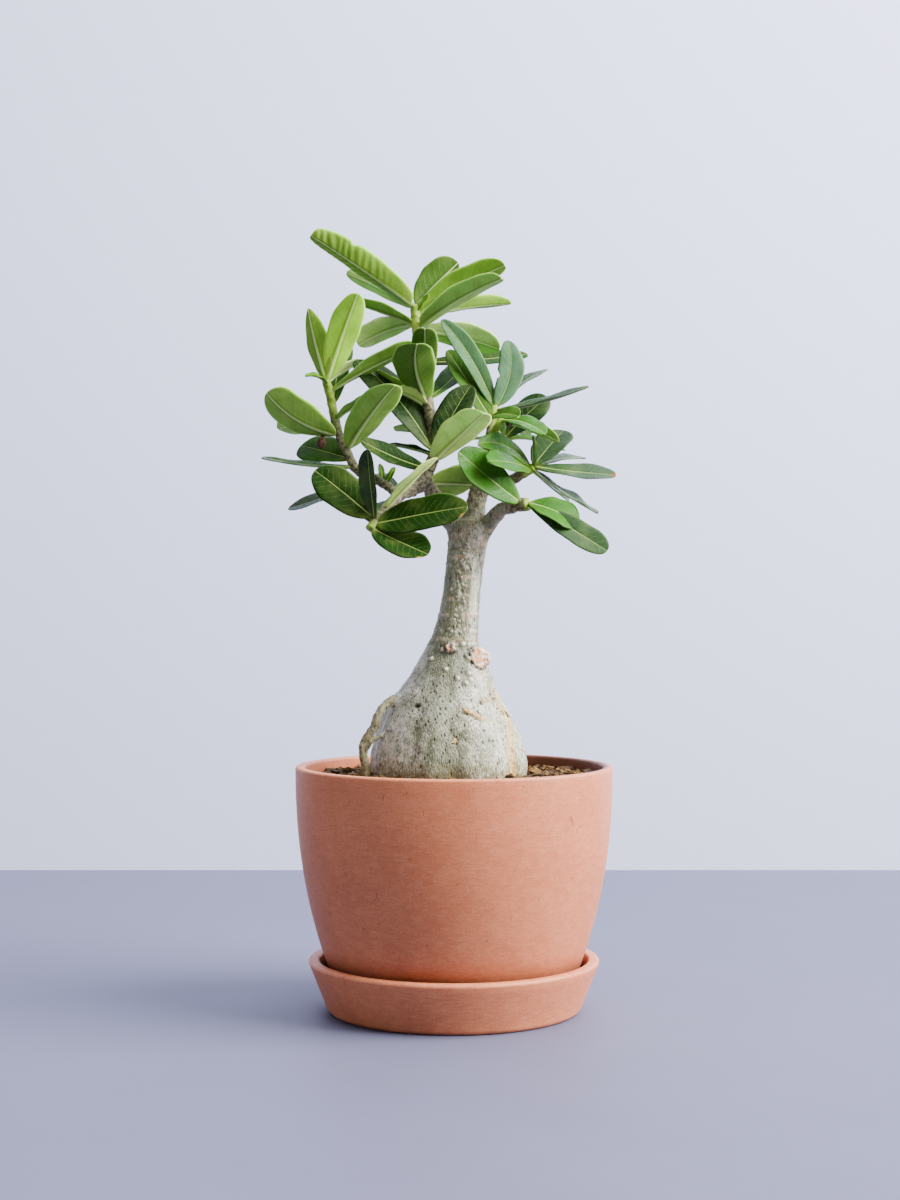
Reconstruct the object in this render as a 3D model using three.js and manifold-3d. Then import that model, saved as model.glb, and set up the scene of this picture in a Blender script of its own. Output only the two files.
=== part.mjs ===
// Potted desert rose (adenium): a swollen grey caudex with leafy shoots, in a round pot on its saucer.
// Millimetres, +Z up. The origin is the centre of the saucer's underside. The viewer looks along +Y.
import * as THREE from 'three';
import { mergeVertices } from 'three/addons/utils/BufferGeometryUtils.js';
import Module from 'manifold-3d';

const wasm = await Module();
wasm.setup();

// Driving dimensions
const GAP = 0.3; // clearance between pieces that rest on or in each other
const ROUND_SIDES = 40; // facets round the pot, the soil and the saucer

const SAUCER_FOOT_RADIUS = 57.5;
const SAUCER_RIM_RADIUS = 68.7;
const SAUCER_HEIGHT = 24.5;
const SAUCER_WALL = 5.4;
const SAUCER_FLOOR = 6;

const POT_BELLY_RADIUS = 75.1;
const POT_FOOT_RADIUS = 54;
const POT_BASE_Z = SAUCER_FLOOR + GAP;
const POT_RIM_Z = 115.3;
const POT_WALL = 4.5;
const POT_FLOOR = 6;
const POT_CURVE = 2.22; // how quickly the wall swings from the foot to the belly
const DRAIN_RADIUS = 6;

const SOIL_EDGE_Z = 109.6;
const SOIL_CENTRE_Z = 111.8;
const SOIL_CHIPS = 34;

const LEAF_THICKNESS = 0.8;
const PETIOLE_WIDTH = 2.2;
const PETIOLE_THICKNESS = 1.9;
const LEAF_ROWS = 6; // cross sections between a leaf's base and its tip
const STEM_SIDES = 6;

// Materials
function material(colour, roughness) {
  return new THREE.MeshStandardMaterial({ color: colour, roughness, metalness: 0, flatShading: true });
}
const CLAY = 0xc08468;
const EARTH = 0x5b4029;
const SKIN = 0xb9baa6;
const LEAF_GREEN = 0x5c8a35;

const plant = new THREE.Group();

function addMesh(name, geometry, colour, roughness) {
  geometry.computeVertexNormals();
  const mesh = new THREE.Mesh(geometry, material(colour, roughness));
  mesh.name = name;
  plant.add(mesh);
}

// Closed geometry, with the vertices that its faces share merged
function closed(geometry) {
  geometry.deleteAttribute('normal');
  geometry.deleteAttribute('uv');
  return mergeVertices(geometry, 1e-4);
}

function toSolid(geometry) {
  const numProp = 3;
  const vertProperties = new Float32Array(geometry.attributes.position.array);
  const triVerts = new Uint32Array(geometry.index.array);
  return new wasm.Manifold(new wasm.Mesh({ numProp, vertProperties, triVerts }));
}

function toGeometry(solid) {
  const { vertProperties, triVerts } = solid.getMesh();
  const geometry = new THREE.BufferGeometry();
  geometry.setAttribute('position', new THREE.BufferAttribute(new Float32Array(vertProperties), 3));
  geometry.setIndex(new THREE.BufferAttribute(new Uint32Array(triVerts), 1));
  return geometry;
}

function joined(geometries) {
  return geometries.map(toSolid).reduce((whole, piece) => whole.add(piece));
}

// A shape turned round the Z axis from a profile of [radius, height] points
function turned(profile) {
  const points = profile.map(([radius, height]) => new THREE.Vector2(radius, height));
  const geometry = new THREE.LatheGeometry(points, ROUND_SIDES);
  geometry.rotateX(Math.PI / 2);
  return closed(geometry);
}

// A quarter turn of a rounded edge, from one angle to another, as profile points
function roundedEdge(centreRadius, centreHeight, radius, fromDegrees, toDegrees, steps) {
  const points = [];
  for (let i = 0; i <= steps; i += 1) {
    const angle = THREE.MathUtils.degToRad(fromDegrees + ((toDegrees - fromDegrees) * i) / steps);
    points.push([centreRadius + radius * Math.cos(angle), centreHeight + radius * Math.sin(angle)]);
  }
  return points;
}

// Saucer: one flared dish that the pot stands in
function saucer() {
  const footEdge = 3.2;
  const rimEdge = 1.2;
  const innerRim = SAUCER_RIM_RADIUS - SAUCER_WALL;
  const innerFoot = POT_FOOT_RADIUS + 2.6;
  return turned([
    [0, 0],
    [SAUCER_FOOT_RADIUS - 1.5, 0],
    ...roundedEdge(SAUCER_FOOT_RADIUS, footEdge, footEdge, -70, -12, 2),
    [SAUCER_RIM_RADIUS, SAUCER_HEIGHT - rimEdge],
    [SAUCER_RIM_RADIUS - rimEdge, SAUCER_HEIGHT],
    [innerRim + rimEdge, SAUCER_HEIGHT],
    [innerRim, SAUCER_HEIGHT - rimEdge],
    [innerFoot + 1.6, SAUCER_FLOOR + 2],
    [innerFoot, SAUCER_FLOOR],
    [0, SAUCER_FLOOR],
  ]);
}
addMesh('saucer', saucer(), CLAY, 0.8);

// Pot: its wall swings out from the foot and stands almost upright at the rim
function potOuterRadius(height) {
  const rise = Math.min(1, (height - POT_BASE_Z) / (POT_RIM_Z - POT_BASE_Z));
  return POT_BELLY_RADIUS - (POT_BELLY_RADIUS - POT_FOOT_RADIUS) * (1 - rise) ** POT_CURVE;
}

const WALL_HEIGHTS = [17, 28, 42, 60, 82, SOIL_EDGE_Z];

function pot() {
  const rimEdge = 1.1;
  const footEdge = 1.2;
  const floorZ = POT_BASE_Z + POT_FLOOR;
  const outside = WALL_HEIGHTS.map((height) => [potOuterRadius(height), height]);
  const inside = WALL_HEIGHTS.map((height) => [potOuterRadius(height) - POT_WALL, height]).reverse();
  const rimRadius = potOuterRadius(POT_RIM_Z);
  return turned([
    [DRAIN_RADIUS, floorZ],
    [DRAIN_RADIUS, POT_BASE_Z],
    [POT_FOOT_RADIUS - footEdge, POT_BASE_Z],
    [POT_FOOT_RADIUS, POT_BASE_Z + footEdge],
    ...outside,
    [rimRadius, POT_RIM_Z - rimEdge],
    [rimRadius - rimEdge, POT_RIM_Z],
    [rimRadius - POT_WALL + rimEdge, POT_RIM_Z],
    [rimRadius - POT_WALL, POT_RIM_Z - rimEdge],
    ...inside,
    [potOuterRadius(floorZ) - POT_WALL, floorZ],
    [DRAIN_RADIUS, floorZ],
  ]);
}
addMesh('pot', pot(), CLAY, 0.75);

// Plant body: caudex, trunk, bare branches and aerial root, grown as one piece.
// Each row gives a height on the stem, the centre's X there and the radius.
const BODY_SECTIONS = [
  [76, -1.5, 9],
  [80, -1.5, 20],
  [88, -1.8, 29],
  [98, -1.9, 34.6],
  [109, -1.9, 36.4],
  [118, -1.9, 36.6],
  [126, -2.3, 35],
  [134, -2.7, 32.4],
  [141, -3.0, 29.2],
  [147, -3.6, 26.2],
  [152.5, -2.4, 22.4],
  [158, -1.2, 19.6],
  [165, -1.0, 15.6],
  [172, -0.2, 12.4],
  [180, 1.2, 10.3],
  [192, 3.0, 9.2],
  [208, 4.8, 8.9],
  [220, 6.4, 9.3],
  [227, 7.4, 10],
  [231, 7.8, 8.4],
  [233.5, 8.0, 4],
];
const BODY_RINGS = 26;
const BODY_SIDES = 30;

// Valleys between the caudex lobes: degrees from the front, depth in millimetres, half width in degrees
const LOBE_VALLEYS = [
  [-2, 2.2, 16],
  [54, 3.4, 11],
  [98, 2.4, 18],
  [143, 2.8, 15],
  [188, 2.2, 17],
  [232, 3.0, 14],
  [278, 2.4, 16],
  [318, 1.6, 15],
];

function lobeDepth(angle, height) {
  const degrees = THREE.MathUtils.radToDeg(angle);
  const strength = THREE.MathUtils.smoothstep(164 - height, 0, 34);
  let depth = 0;
  for (const [valley, deep, halfWidth] of LOBE_VALLEYS) {
    const away = THREE.MathUtils.euclideanModulo(degrees - valley + 180, 360) - 180;
    depth += deep * Math.exp(-((away / halfWidth) ** 2));
  }
  return depth * strength;
}

// The swollen body, grown outwards by a clearance when it cuts its hole in the soil
function bodyGeometry(clearance) {
  const spine = new THREE.CatmullRomCurve3(
    BODY_SECTIONS.map(([height, centre, radius]) => new THREE.Vector3(centre, radius, height)),
  );
  const geometry = new THREE.CylinderGeometry(1, 1, 1, BODY_SIDES, BODY_RINGS);
  const position = geometry.attributes.position;
  for (let i = 0; i < position.count; i += 1) {
    const section = spine.getPointAt(THREE.MathUtils.clamp(position.getY(i) + 0.5, 0, 1));
    const across = Math.hypot(position.getX(i), position.getZ(i));
    const angle = Math.atan2(position.getX(i), position.getZ(i));
    const radius = (section.y - lobeDepth(angle, section.z) + clearance) * Math.min(1, across);
    const sink = position.getY(i) < -0.49 ? clearance : 0;
    position.setXYZ(i, section.x + radius * Math.sin(angle), -radius * Math.cos(angle), section.z - sink);
  }
  return closed(geometry);
}

// A round limb from one fraction of a curve's length to another, tapering evenly
function limb(curve, from, to, startRadius, endRadius, sides, steps) {
  const geometry = new THREE.CylinderGeometry(1, 1, 1, sides, steps);
  const position = geometry.attributes.position;
  for (let i = 0; i < position.count; i += 1) {
    const along = from + (to - from) * THREE.MathUtils.clamp(position.getY(i) + 0.5, 0, 1);
    const centre = curve.getPointAt(along);
    const direction = curve.getTangentAt(along);
    const side = new THREE.Vector3(0, 1, 0).cross(direction);
    if (side.length() < 0.2) side.set(1, 0, 0).cross(direction);
    side.normalize();
    const front = new THREE.Vector3().crossVectors(direction, side);
    const radius = startRadius + (endRadius - startRadius) * along;
    centre.addScaledVector(side, position.getX(i) * radius);
    centre.addScaledVector(front, position.getZ(i) * -radius);
    position.setXYZ(i, centre.x, centre.y, centre.z);
  }
  return closed(geometry);
}

function curveThrough(points) {
  return new THREE.CatmullRomCurve3(points.map(([x, y, z]) => new THREE.Vector3(x, y, z)));
}

// Branches: the points a branch passes through, its radius at both ends, and the fraction of its
// length that is bare wood. What lies beyond that fraction is a leafy shoot.
const BRANCHES = {
  tall: {
    points: [
      [1.9, 0, 225], [-5.2, -6, 237], [-12.7, -14, 249], [-10.8, -13, 257.5], [-8.5, -12, 263],
      [-9.4, -9, 273.6], [-12.3, -5, 286], [-15.7, -1, 303], [-17.1, 1, 315], [-18.6, 4, 334],
    ],
    radii: [4.4, 1.7], bare: 0.3,
  },
  low_left: {
    points: [
      [-12.7, -14, 249], [-19.6, -19, 245.3], [-25.9, -24, 241.3], [-31.8, -29, 235], [-38.4, -35, 226],
    ],
    radii: [3.2, 2], bare: 0.55,
  },
  left: {
    points: [
      [-25, -23, 242], [-30.8, -18, 246.3], [-37, -12, 250.4], [-45.8, -6, 255], [-50.6, -3, 263.7],
      [-55, -1, 273.4], [-58.4, 0, 288.6], [-60.7, -1, 298],
    ],
    radii: [2.3, 1.7], bare: 0.115,
  },
  upper_right: {
    points: [
      [7.6, 0, 225], [10.9, 1, 241], [12.8, 2, 251.7], [14.3, 3, 261.3], [16.3, 7, 268.3],
      [18.3, 10, 278], [19.3, 12, 287],
    ],
    radii: [6, 2], bare: 0.66,
  },
  middle: {
    points: [[14.2, 3, 260.5], [15.8, -3, 266.6], [18.5, -6, 272.5], [22, -7, 277.5], [25.5, -6, 281]],
    radii: [2.4, 1.7], bare: 0.3,
  },
  back: {
    points: [[12.6, 2, 251.5], [15.9, 12, 259.1], [20.5, 23, 266.2], [25.6, 32, 273.3]],
    radii: [2.8, 1.8], bare: 0.33,
  },
  right: {
    points: [[11.6, 1, 245.5], [17.6, 3, 247], [22.4, 3, 249], [28, 1, 251.2], [37.9, -2, 256.7]],
    radii: [3.2, 2.2], bare: 0.4,
  },
  low_right: {
    points: [[10.5, -1, 222], [14.5, -2, 227], [19.5, -6, 233.5], [24, -11, 236.8], [34.4, -18, 238.4]],
    radii: [4.4, 2.5], bare: 0.76,
  },
};

// The aerial root leaves the caudex on the left, hangs clear of it and goes down into the soil
const ROOT = {
  points: [
    [-26, -6, 150], [-31, -10, 147.5], [-34.6, -14, 143.5], [-37.5, -17, 138.5], [-38.6, -18, 133.5],
    [-42.6, -18, 127], [-43.2, -18, 120], [-40.8, -18, 112], [-39.5, -18, 105],
  ],
  radii: [2.6, 1.5], sides: 6, steps: 12,
};
const ROOT_STRAND = {
  points: [[-42.6, -18, 124.5], [-38.5, -19, 127.6], [-34, -17, 130.5], [-29, -15, 131]],
  radii: [1.1, 1], sides: 5, steps: 3,
};

function rootLimb({ points, radii, sides, steps }, clearance) {
  return limb(curveThrough(points), 0, 1, radii[0] + clearance, radii[1] + clearance, sides, steps);
}

// A cut face where an old branch was pruned: a short round stub standing out of the skin
function cutScar(centre, outward, radius, depth, sides) {
  const geometry = new THREE.CylinderGeometry(radius * 0.92, radius, depth, sides, 1);
  const turn = new THREE.Quaternion();
  turn.setFromUnitVectors(new THREE.Vector3(0, 1, 0), new THREE.Vector3(...outward).normalize());
  geometry.applyQuaternion(turn);
  geometry.translate(...centre);
  return closed(geometry);
}

function plantBody() {
  const pieces = [
    bodyGeometry(0),
    rootLimb(ROOT, 0),
    rootLimb(ROOT_STRAND, 0),
    cutScar([10.6, -6.6, 167], [0.78, -0.6, 0.2], 4.6, 5, 10),
    cutScar([-1.6, -14.2, 170.5], [-0.1, -0.97, 0.25], 2, 3, 7),
  ];
  for (const { points, radii, bare } of Object.values(BRANCHES)) {
    const steps = Math.max(3, Math.round(bare * points.length));
    const inset = GAP / 2 / curveThrough(points).getLength();
    pieces.push(limb(curveThrough(points), 0, bare - inset, radii[0], radii[1], 8, steps));
  }
  return joined(pieces);
}
addMesh('plant_body', toGeometry(plantBody()), SKIN, 0.8);

// Soil: fills the pot, with bark chips and crumbs on top, and a plain hole for the plant body
function seededRandom(seed) {
  let state = seed;
  return () => {
    state = (state * 1664525 + 1013904223) % 4294967296;
    return state / 4294967296;
  };
}

function soilRelief(x, y) {
  return 0.7 * Math.sin(x * 0.31 + 1.2) * Math.cos(y * 0.27) + 0.45 * Math.sin(x * 0.83 - y * 0.61);
}

function soilBlock() {
  const floorZ = POT_BASE_Z + POT_FLOOR + GAP;
  const side = [floorZ, ...WALL_HEIGHTS.filter((height) => height > floorZ)];
  const wall = side.map((height) => [potOuterRadius(height) - POT_WALL - GAP, height]);
  const edge = wall[wall.length - 1][0];
  const top = [];
  for (let radius = edge - 8; radius > 24; radius -= 8) {
    const height = THREE.MathUtils.mapLinear(radius, edge, 30, SOIL_EDGE_Z, SOIL_CENTRE_Z);
    top.push([radius, height]);
  }
  const geometry = turned([[0, floorZ], ...wall, ...top, [0, SOIL_CENTRE_Z]]);
  const position = geometry.attributes.position;
  for (let i = 0; i < position.count; i += 1) {
    const x = position.getX(i);
    const y = position.getY(i);
    const onTop = position.getZ(i) > SOIL_EDGE_Z + 0.05;
    if (onTop) position.setZ(i, position.getZ(i) + soilRelief(x, y));
  }
  return geometry;
}

function barkChips() {
  const random = seededRandom(7);
  const chips = [];
  for (let i = 0; i < SOIL_CHIPS; i += 1) {
    const angle = (i * 137.5 * Math.PI) / 180;
    const radius = 43 + 21 * Math.sqrt(random());
    const chip = new THREE.OctahedronGeometry(1);
    chip.scale(2.2 + 2.2 * random(), 1.5 + 1.4 * random(), 1.3 + 0.8 * random());
    chip.rotateX(0.8 * (random() - 0.5));
    chip.rotateZ(2 * Math.PI * random());
    const x = radius * Math.cos(angle);
    const y = radius * Math.sin(angle);
    chip.translate(x, y, SOIL_EDGE_Z + 0.5 + soilRelief(x, y) + 0.5 * random());
    chips.push(closed(chip));
  }
  return chips;
}

function soil() {
  const hole = joined([bodyGeometry(GAP + 0.05), rootLimb(ROOT, GAP + 0.05)]);
  return joined([soilBlock(), ...barkChips()]).subtract(hole);
}
addMesh('soil', toGeometry(soil()), EARTH, 0.95);

// Leaf blade: a thin closed sheet along a bent midrib. It grows from a point on its shoot to a tip.
// face is the way its upper side looks. bow arches it towards that side, sway bends it sideways,
// fold lifts both halves from the midrib, and broad is where along its length it is widest.
function blade(base, tip, width, face, options) {
  const { bow = 2, sway = 0, fold = 0.15, broad = 0.62 } = options;
  const axis = new THREE.Vector3().subVectors(tip, base).normalize();
  const up = new THREE.Vector3(...face);
  up.addScaledVector(axis, -up.dot(axis)).normalize();
  const side = new THREE.Vector3().crossVectors(axis, up);
  const middle = new THREE.Vector3().addVectors(base, tip).multiplyScalar(0.5);
  middle.addScaledVector(up, 2 * bow).addScaledVector(side, 2 * sway);
  const midrib = new THREE.QuadraticBezierCurve3(base, middle, tip);
  const rise = (1.1 * broad ** 2) / (1 - broad ** 2);
  const outline = (t) => t ** rise * (1 - t * t) ** 0.55;
  const positions = [];
  for (let row = 0; row <= LEAF_ROWS; row += 1) {
    const t = Math.sin((Math.PI / 2) * (row / LEAF_ROWS));
    const spread = Math.min(1, outline(Math.min(t, 0.995)) / outline(broad));
    const half = PETIOLE_WIDTH / 2 * (1 - 0.6 * t) + (width - PETIOLE_WIDTH) / 2 * spread;
    const thick = LEAF_THICKNESS + (PETIOLE_THICKNESS - LEAF_THICKNESS) * Math.max(0, 1 - 4 * t);
    const centre = midrib.getPoint(t);
    const normal = new THREE.Vector3().crossVectors(side, midrib.getTangent(t)).normalize();
    for (const layer of [0.5, -0.5]) {
      for (const across of [-1, 0, 1]) {
        const point = centre.clone();
        point.addScaledVector(side, across * half * Math.sqrt(1 - fold * fold));
        point.addScaledVector(normal, Math.abs(across) * half * fold + layer * thick);
        positions.push(point.x, point.y, point.z);
      }
    }
  }
  return sheetGeometry(positions, LEAF_ROWS);
}

// Joins rows of six points, three on the upper side and three on the lower, into a closed sheet
function sheetGeometry(positions, rows) {
  const ring = [0, 1, 2, 5, 4, 3];
  const index = [];
  for (let row = 0; row < rows; row += 1) {
    for (let k = 0; k < ring.length; k += 1) {
      const a = row * 6 + ring[k];
      const b = row * 6 + ring[(k + 1) % ring.length];
      const mirrored = k > 2;
      if (mirrored) index.push(a, b, a + 6, b, b + 6, a + 6);
      else index.push(a, b, b + 6, a, b + 6, a + 6);
    }
  }
  const last = rows * 6;
  index.push(0, 3, 1, 1, 3, 4, 1, 4, 2, 2, 4, 5);
  index.push(last, last + 1, last + 3, last + 1, last + 4, last + 3);
  index.push(last + 1, last + 2, last + 4, last + 2, last + 5, last + 4);
  const geometry = new THREE.BufferGeometry();
  geometry.setAttribute('position', new THREE.BufferAttribute(new Float32Array(positions), 3));
  geometry.setIndex(index);
  return geometry;
}

// Leaves of each shoot: where on the shoot a leaf grows (0 its start, 1 its tip), where its tip is,
// its width, the way its upper side faces, and how it bends
const LEAVES = {
  tall: [
    [0.99, [-67, -12, 364], 17, [0.5, 0.55, 0.66], { fold: 0.5, bow: 1.5, broad: 0.5 }],
    [0.98, [-52, 18, 350], 13, [0.3, 0.6, 0.75], { fold: 0.3 }],
    [0.99, [2, 12, 356], 19, [-0.58, 0.55, 0.6], { fold: 0.5, bow: 1.5, broad: 0.66 }],
    [0.86, [22, -26, 342], 16, [-0.2, 0.65, 0.75], { fold: 0.45, bow: 3, broad: 0.55 }],
    [0.94, [24, -4, 352], 16, [-0.4, 0.74, 0.55], { fold: 0.35, bow: 3, broad: 0.6 }],
    [0.92, [28, 30, 339], 17, [-0.1, 0.55, 0.83], { fold: 0.55, bow: 2.5 }],
    [0.88, [-50, 6, 336], 13, [0.3, 0.35, 0.89], { fold: 0.4, bow: 1 }],
    [0.89, [-46, 10, 316], 17, [-0.3, 0.65, 0.7], { fold: 0.3, bow: 3, broad: 0.66 }],
    [0.85, [22, 9, 314], 18, [0, 0.7, 0.7], { fold: 0.2, bow: 3 }],
    [0.96, [-12, 0, 339], 4.5, [0, -0.5, 0.5], { fold: 0.1, bow: 0.5 }],
    [0.42, [-15, -34, 313], 24, [0, 0.67, 0.74], { fold: 0.15, bow: 3, sway: 2, broad: 0.56 }],
    [0.73, [-15, -26, 317], 13, [0, 0.4, 0.9], { fold: 0.2, bow: 3 }],
    [0.12, [-46, 16, 306], 19, [0.4, -0.8, 0.4], { fold: 0.12, bow: 2, sway: 3, broad: 0.5 }],
    [0.4, [-40, 5, 303], 12, [0.4, 0.25, 0.85], { fold: 0.25, bow: 1 }],
    [0.39, [-27, -5, 293], 13, [0.3, 0.5, 0.8], { fold: 0.2, bow: 1 }],
    [0.17, [8, -8, 294], 16, [-0.4, -0.85, 0.3], { fold: 0.2, bow: 2 }],
    [0.05, [14, -46, 276], 22, [-0.1, 0.6, 0.8], { fold: 0.15, bow: 3, sway: -2, broad: 0.6 }],
    [0.22, [-28, 10, 275], 14, [0, 0.3, 0.95], { fold: 0.2, bow: 1 }],
    [0.66, [36, 31, 314], 14, [-0.1, -0.72, 0.7], { fold: 0.2, bow: -0.5, broad: 0.66 }],
    [0.44, [6, 26, 311], 17, [-0.4, -0.88, 0.2], { fold: 0.15, bow: 1, sway: 3, broad: 0.66 }],
    [0.05, [9, 12, 247], 15, [-0.77, 0.64, 0.1], { fold: 0.1, bow: 1, broad: 0.5 }],
    [0.05, [-42, -26, 266], 15, [0.2, -0.75, 0.6], { fold: 0.15, bow: -1 }],
    [0.1, [-31, -6, 267], 10, [0.3, -0.35, 0.9], { fold: 0.2, bow: 1 }],
    [0.55, [-20, 40, 300], 16, [0, 0.2, 1], { fold: 0.2, bow: 4 }],
    [0.27, [3, 34, 284], 15, [0.2, -0.4, 1], { fold: 0.2, bow: 3 }],
  ],
  left: [
    [0.99, [-69, -2, 332], 17, [0.5, 0.85, 0.15], { fold: 0.35, bow: -1, broad: 0.5 }],
    [0.98, [-45, -14, 337], 17, [-0.15, 0.9, 0.35], { fold: 0.2, bow: 2, broad: 0.6 }],
    [0.96, [-70, -8, 299], 6, [0, -0.4, 0.9], { fold: 0.2, bow: 2.5 }],
    [0.98, [-45, 10, 308], 11, [-0.1, 0.5, 0.85], { fold: 0.2, bow: 1 }],
    [0.91, [-16, -12, 313], 12, [-0.3, 0.6, 0.75], { fold: 0.35, bow: 2, broad: 0.72 }],
    [0.71, [-37, -13, 290], 11, [-0.3, 0.2, 0.9], { fold: 0.2, bow: 1 }],
    [0.47, [-24, -34, 289], 20, [-0.2, 0.6, 0.75], { fold: 0.15, bow: 2, broad: 0.6 }],
    [0.6, [-87, -20, 290], 19, [0.3, 0.8, 0.5], { fold: 0.12, bow: -2, sway: 3, broad: 0.64 }],
    [0.64, [-85, 12, 279], 18, [0.1, 0.6, 0.8], { fold: 0.2, bow: 2 }],
    [0.4, [-74, 17, 268], 20, [0.2, -0.85, 0.4], { fold: 0.1, bow: 1, broad: 0.66 }],
    [0.34, [-90, -15, 260], 12, [0, -0.3, 0.95], { fold: 0.15, bow: -1 }],
    [0.18, [-79, 4, 237], 15, [-0.2, -0.5, 0.85], { fold: 0.2, bow: -1 }],
    [0.14, [-26, 2, 247], 15, [0.1, -0.8, 0.5], { fold: 0.1, bow: -0.5 }],
    [0.05, [-35, -2, 258], 4, [0, -0.6, 0.6], { fold: 0.2, bow: 1 }],
    [0.03, [-28, -8, 256], 4, [0.2, -0.8, 0.5], { fold: 0.2, bow: 1 }],
    [0.8, [-54, 34, 322], 14, [0, -0.6, 0.8], { fold: 0.2, bow: 3 }],
  ],
  low_left: [
    [0.74, [-64, -30, 253], 19.5, [-0.2, -0.85, 0.5], { fold: 0.1, bow: 2, broad: 0.6 }],
    [0.72, [-38, -42, 262], 13, [-0.6, -0.75, 0.1], { fold: 0.4, bow: 1 }],
    [0.62, [6, -50, 234], 21, [0, -0.85, 0.55], { fold: 0.1, bow: 1, broad: 0.56 }],
    [0.97, [-12, -52, 214], 19, [0.1, -0.75, 0.65], { fold: 0.1, bow: 0 }],
    [0.3, [-8, -44, 258], 13, [-0.75, 0.4, 0.55], { fold: 0.2, bow: 0, sway: 2, broad: 0.56 }],
    [0.64, [-30, -8, 240], 12, [0, -0.6, 0.8], { fold: 0.1, bow: 1 }],
    [0.83, [-52, -2, 243], 15, [0, -0.4, 1], { fold: 0.15, bow: 3 }],
  ],
  upper_right: [
    [0.95, [-6, -12, 325], 14, [0.5, -0.75, 0.3], { fold: 0.1, bow: 0, sway: 2, broad: 0.6 }],
    [0.93, [28, 6, 318], 14, [0.05, -0.97, 0.1], { fold: 0.1, bow: 1, sway: 1, broad: 0.56 }],
    [0.88, [64, 0, 295], 12, [-0.1, 0.3, 0.95], { fold: 0.25, bow: -1.2 }],
    [0.98, [46, 34, 307], 10, [-0.3, -0.4, 0.85], { fold: 0.2, bow: 2 }],
    [0.88, [23, 50, 300], 10, [0, -0.3, 0.95], { fold: 0.2, bow: 2 }],
    [0.6, [-3.5, 0, 312], 12, [0.5, -0.8, 0.3], { fold: 0.2, bow: 1 }],
  ],
  middle: [
    [0.55, [30, -30, 278], 13, [-0.2, -0.6, 0.75], { fold: 0.3, bow: 2 }],
    [0.75, [42, -26, 270], 12, [-0.1, -0.45, 0.9], { fold: 0.2, bow: 3 }],
    [0.8, [49, -14, 268], 12, [0, 0.55, 0.83], { fold: 0.2, bow: 2 }],
  ],
  back: [
    [0.97, [46, 30, 292], 15, [-0.4, -0.75, 0.5], { fold: 0.1, bow: 2, broad: 0.66 }],
    [0.95, [55, 44, 268], 13, [0, -0.3, 0.95], { fold: 0.2, bow: 3 }],
    [0.9, [10, 62, 290], 16, [0, -0.4, 0.9], { fold: 0.2, bow: 4 }],
    [0.98, [38, 68, 278], 17, [-0.2, -0.3, 0.9], { fold: 0.15, bow: 4 }],
    [0.7, [2, 50, 271], 15, [0.2, -0.3, 0.9], { fold: 0.2, bow: 4 }],
    [0.8, [22, 62, 262], 14, [0, -0.2, 1], { fold: 0.2, bow: 5 }],
  ],
  right: [
    [0.84, [16, -28, 257], 15, [0.65, -0.34, 0.68], { fold: 0.12, bow: 2, broad: 0.6 }],
    [0.91, [12, -20, 266], 18, [0.3, -0.75, 0.6], { fold: 0.15, bow: 5, broad: 0.6 }],
    [0.98, [55, 12, 272], 19, [-0.4, -0.75, 0.5], { fold: 0.12, bow: 1, broad: 0.66 }],
    [0.98, [63, 14, 262], 12, [-0.1, -0.15, 0.98], { fold: 0.15, bow: 2 }],
    [0.97, [76, -10, 252], 15, [0.1, -0.55, 0.8], { fold: 0.15, bow: 0, broad: 0.66 }],
    [0.91, [67, -18, 234], 11, [0.45, -0.15, 0.85], { fold: 0.15, bow: -0.5 }],
    [0.9, [55, 6, 241], 12, [0.5, -0.3, 0.8], { fold: 0.15, bow: 0 }],
    [0.97, [37, -6, 271], 9, [1, -0.2, 0], { fold: 0.2, bow: 1 }],
  ],
  low_right: [
    [0.65, [2, -30, 260], 19, [0.3, -0.65, 0.7], { fold: 0.12, bow: -0.5, broad: 0.52 }],
    [0.95, [70, -32, 216], 17, [0.4, -0.55, 0.7], { fold: 0.1, bow: 1, broad: 0.7 }],
    [0.95, [60, -4, 232], 18, [0.1, -0.5, 0.85], { fold: 0.15, bow: 3 }],
  ],
};

// A small rounded bud on a shoot
function bud(centre, length, radius) {
  const geometry = new THREE.IcosahedronGeometry(1, 0);
  geometry.scale(radius, radius, length / 2);
  geometry.translate(...centre);
  return closed(geometry);
}

const BUDS = {
  left: [[-62.8, -4, 268, 5, 2.2], [-62.2, -2.6, 271.5, 5, 1.2], [-59, -2, 272.5, 4, 1.1]],
  middle: [[25.6, -8.2, 279, 6, 1.4], [27.4, -8.8, 277.6, 5, 1.3], [25.4, -9.8, 276.6, 5, 1.3]],
};

// Leafy shoot: the green end of a branch with its leaves and buds, fused
function shoot(name) {
  const { points, radii, bare } = BRANCHES[name];
  const curve = curveThrough(points);
  const start = bare + GAP / 2 / curve.getLength();
  const steps = Math.max(3, Math.round((1 - bare) * curve.getLength() / 7));
  const pieces = [limb(curve, start, 1, radii[0], radii[1], STEM_SIDES, steps)];
  for (const [at, tip, width, face, options] of LEAVES[name]) {
    const base = curve.getPointAt(start + (1 - start) * at);
    pieces.push(blade(base, new THREE.Vector3(...tip), width, face, options));
  }
  for (const [x, y, z, length, radius] of BUDS[name] ?? []) pieces.push(bud([x, y, z], length, radius));
  return joined(pieces);
}

for (const name of Object.keys(BRANCHES)) {
  addMesh(`${name}_shoot`, toGeometry(shoot(name)), LEAF_GREEN, 0.5);
}

export default plant;
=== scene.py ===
import math
import random

import bmesh
import bpy
from mathutils import Matrix, Vector, kdtree, noise


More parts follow.
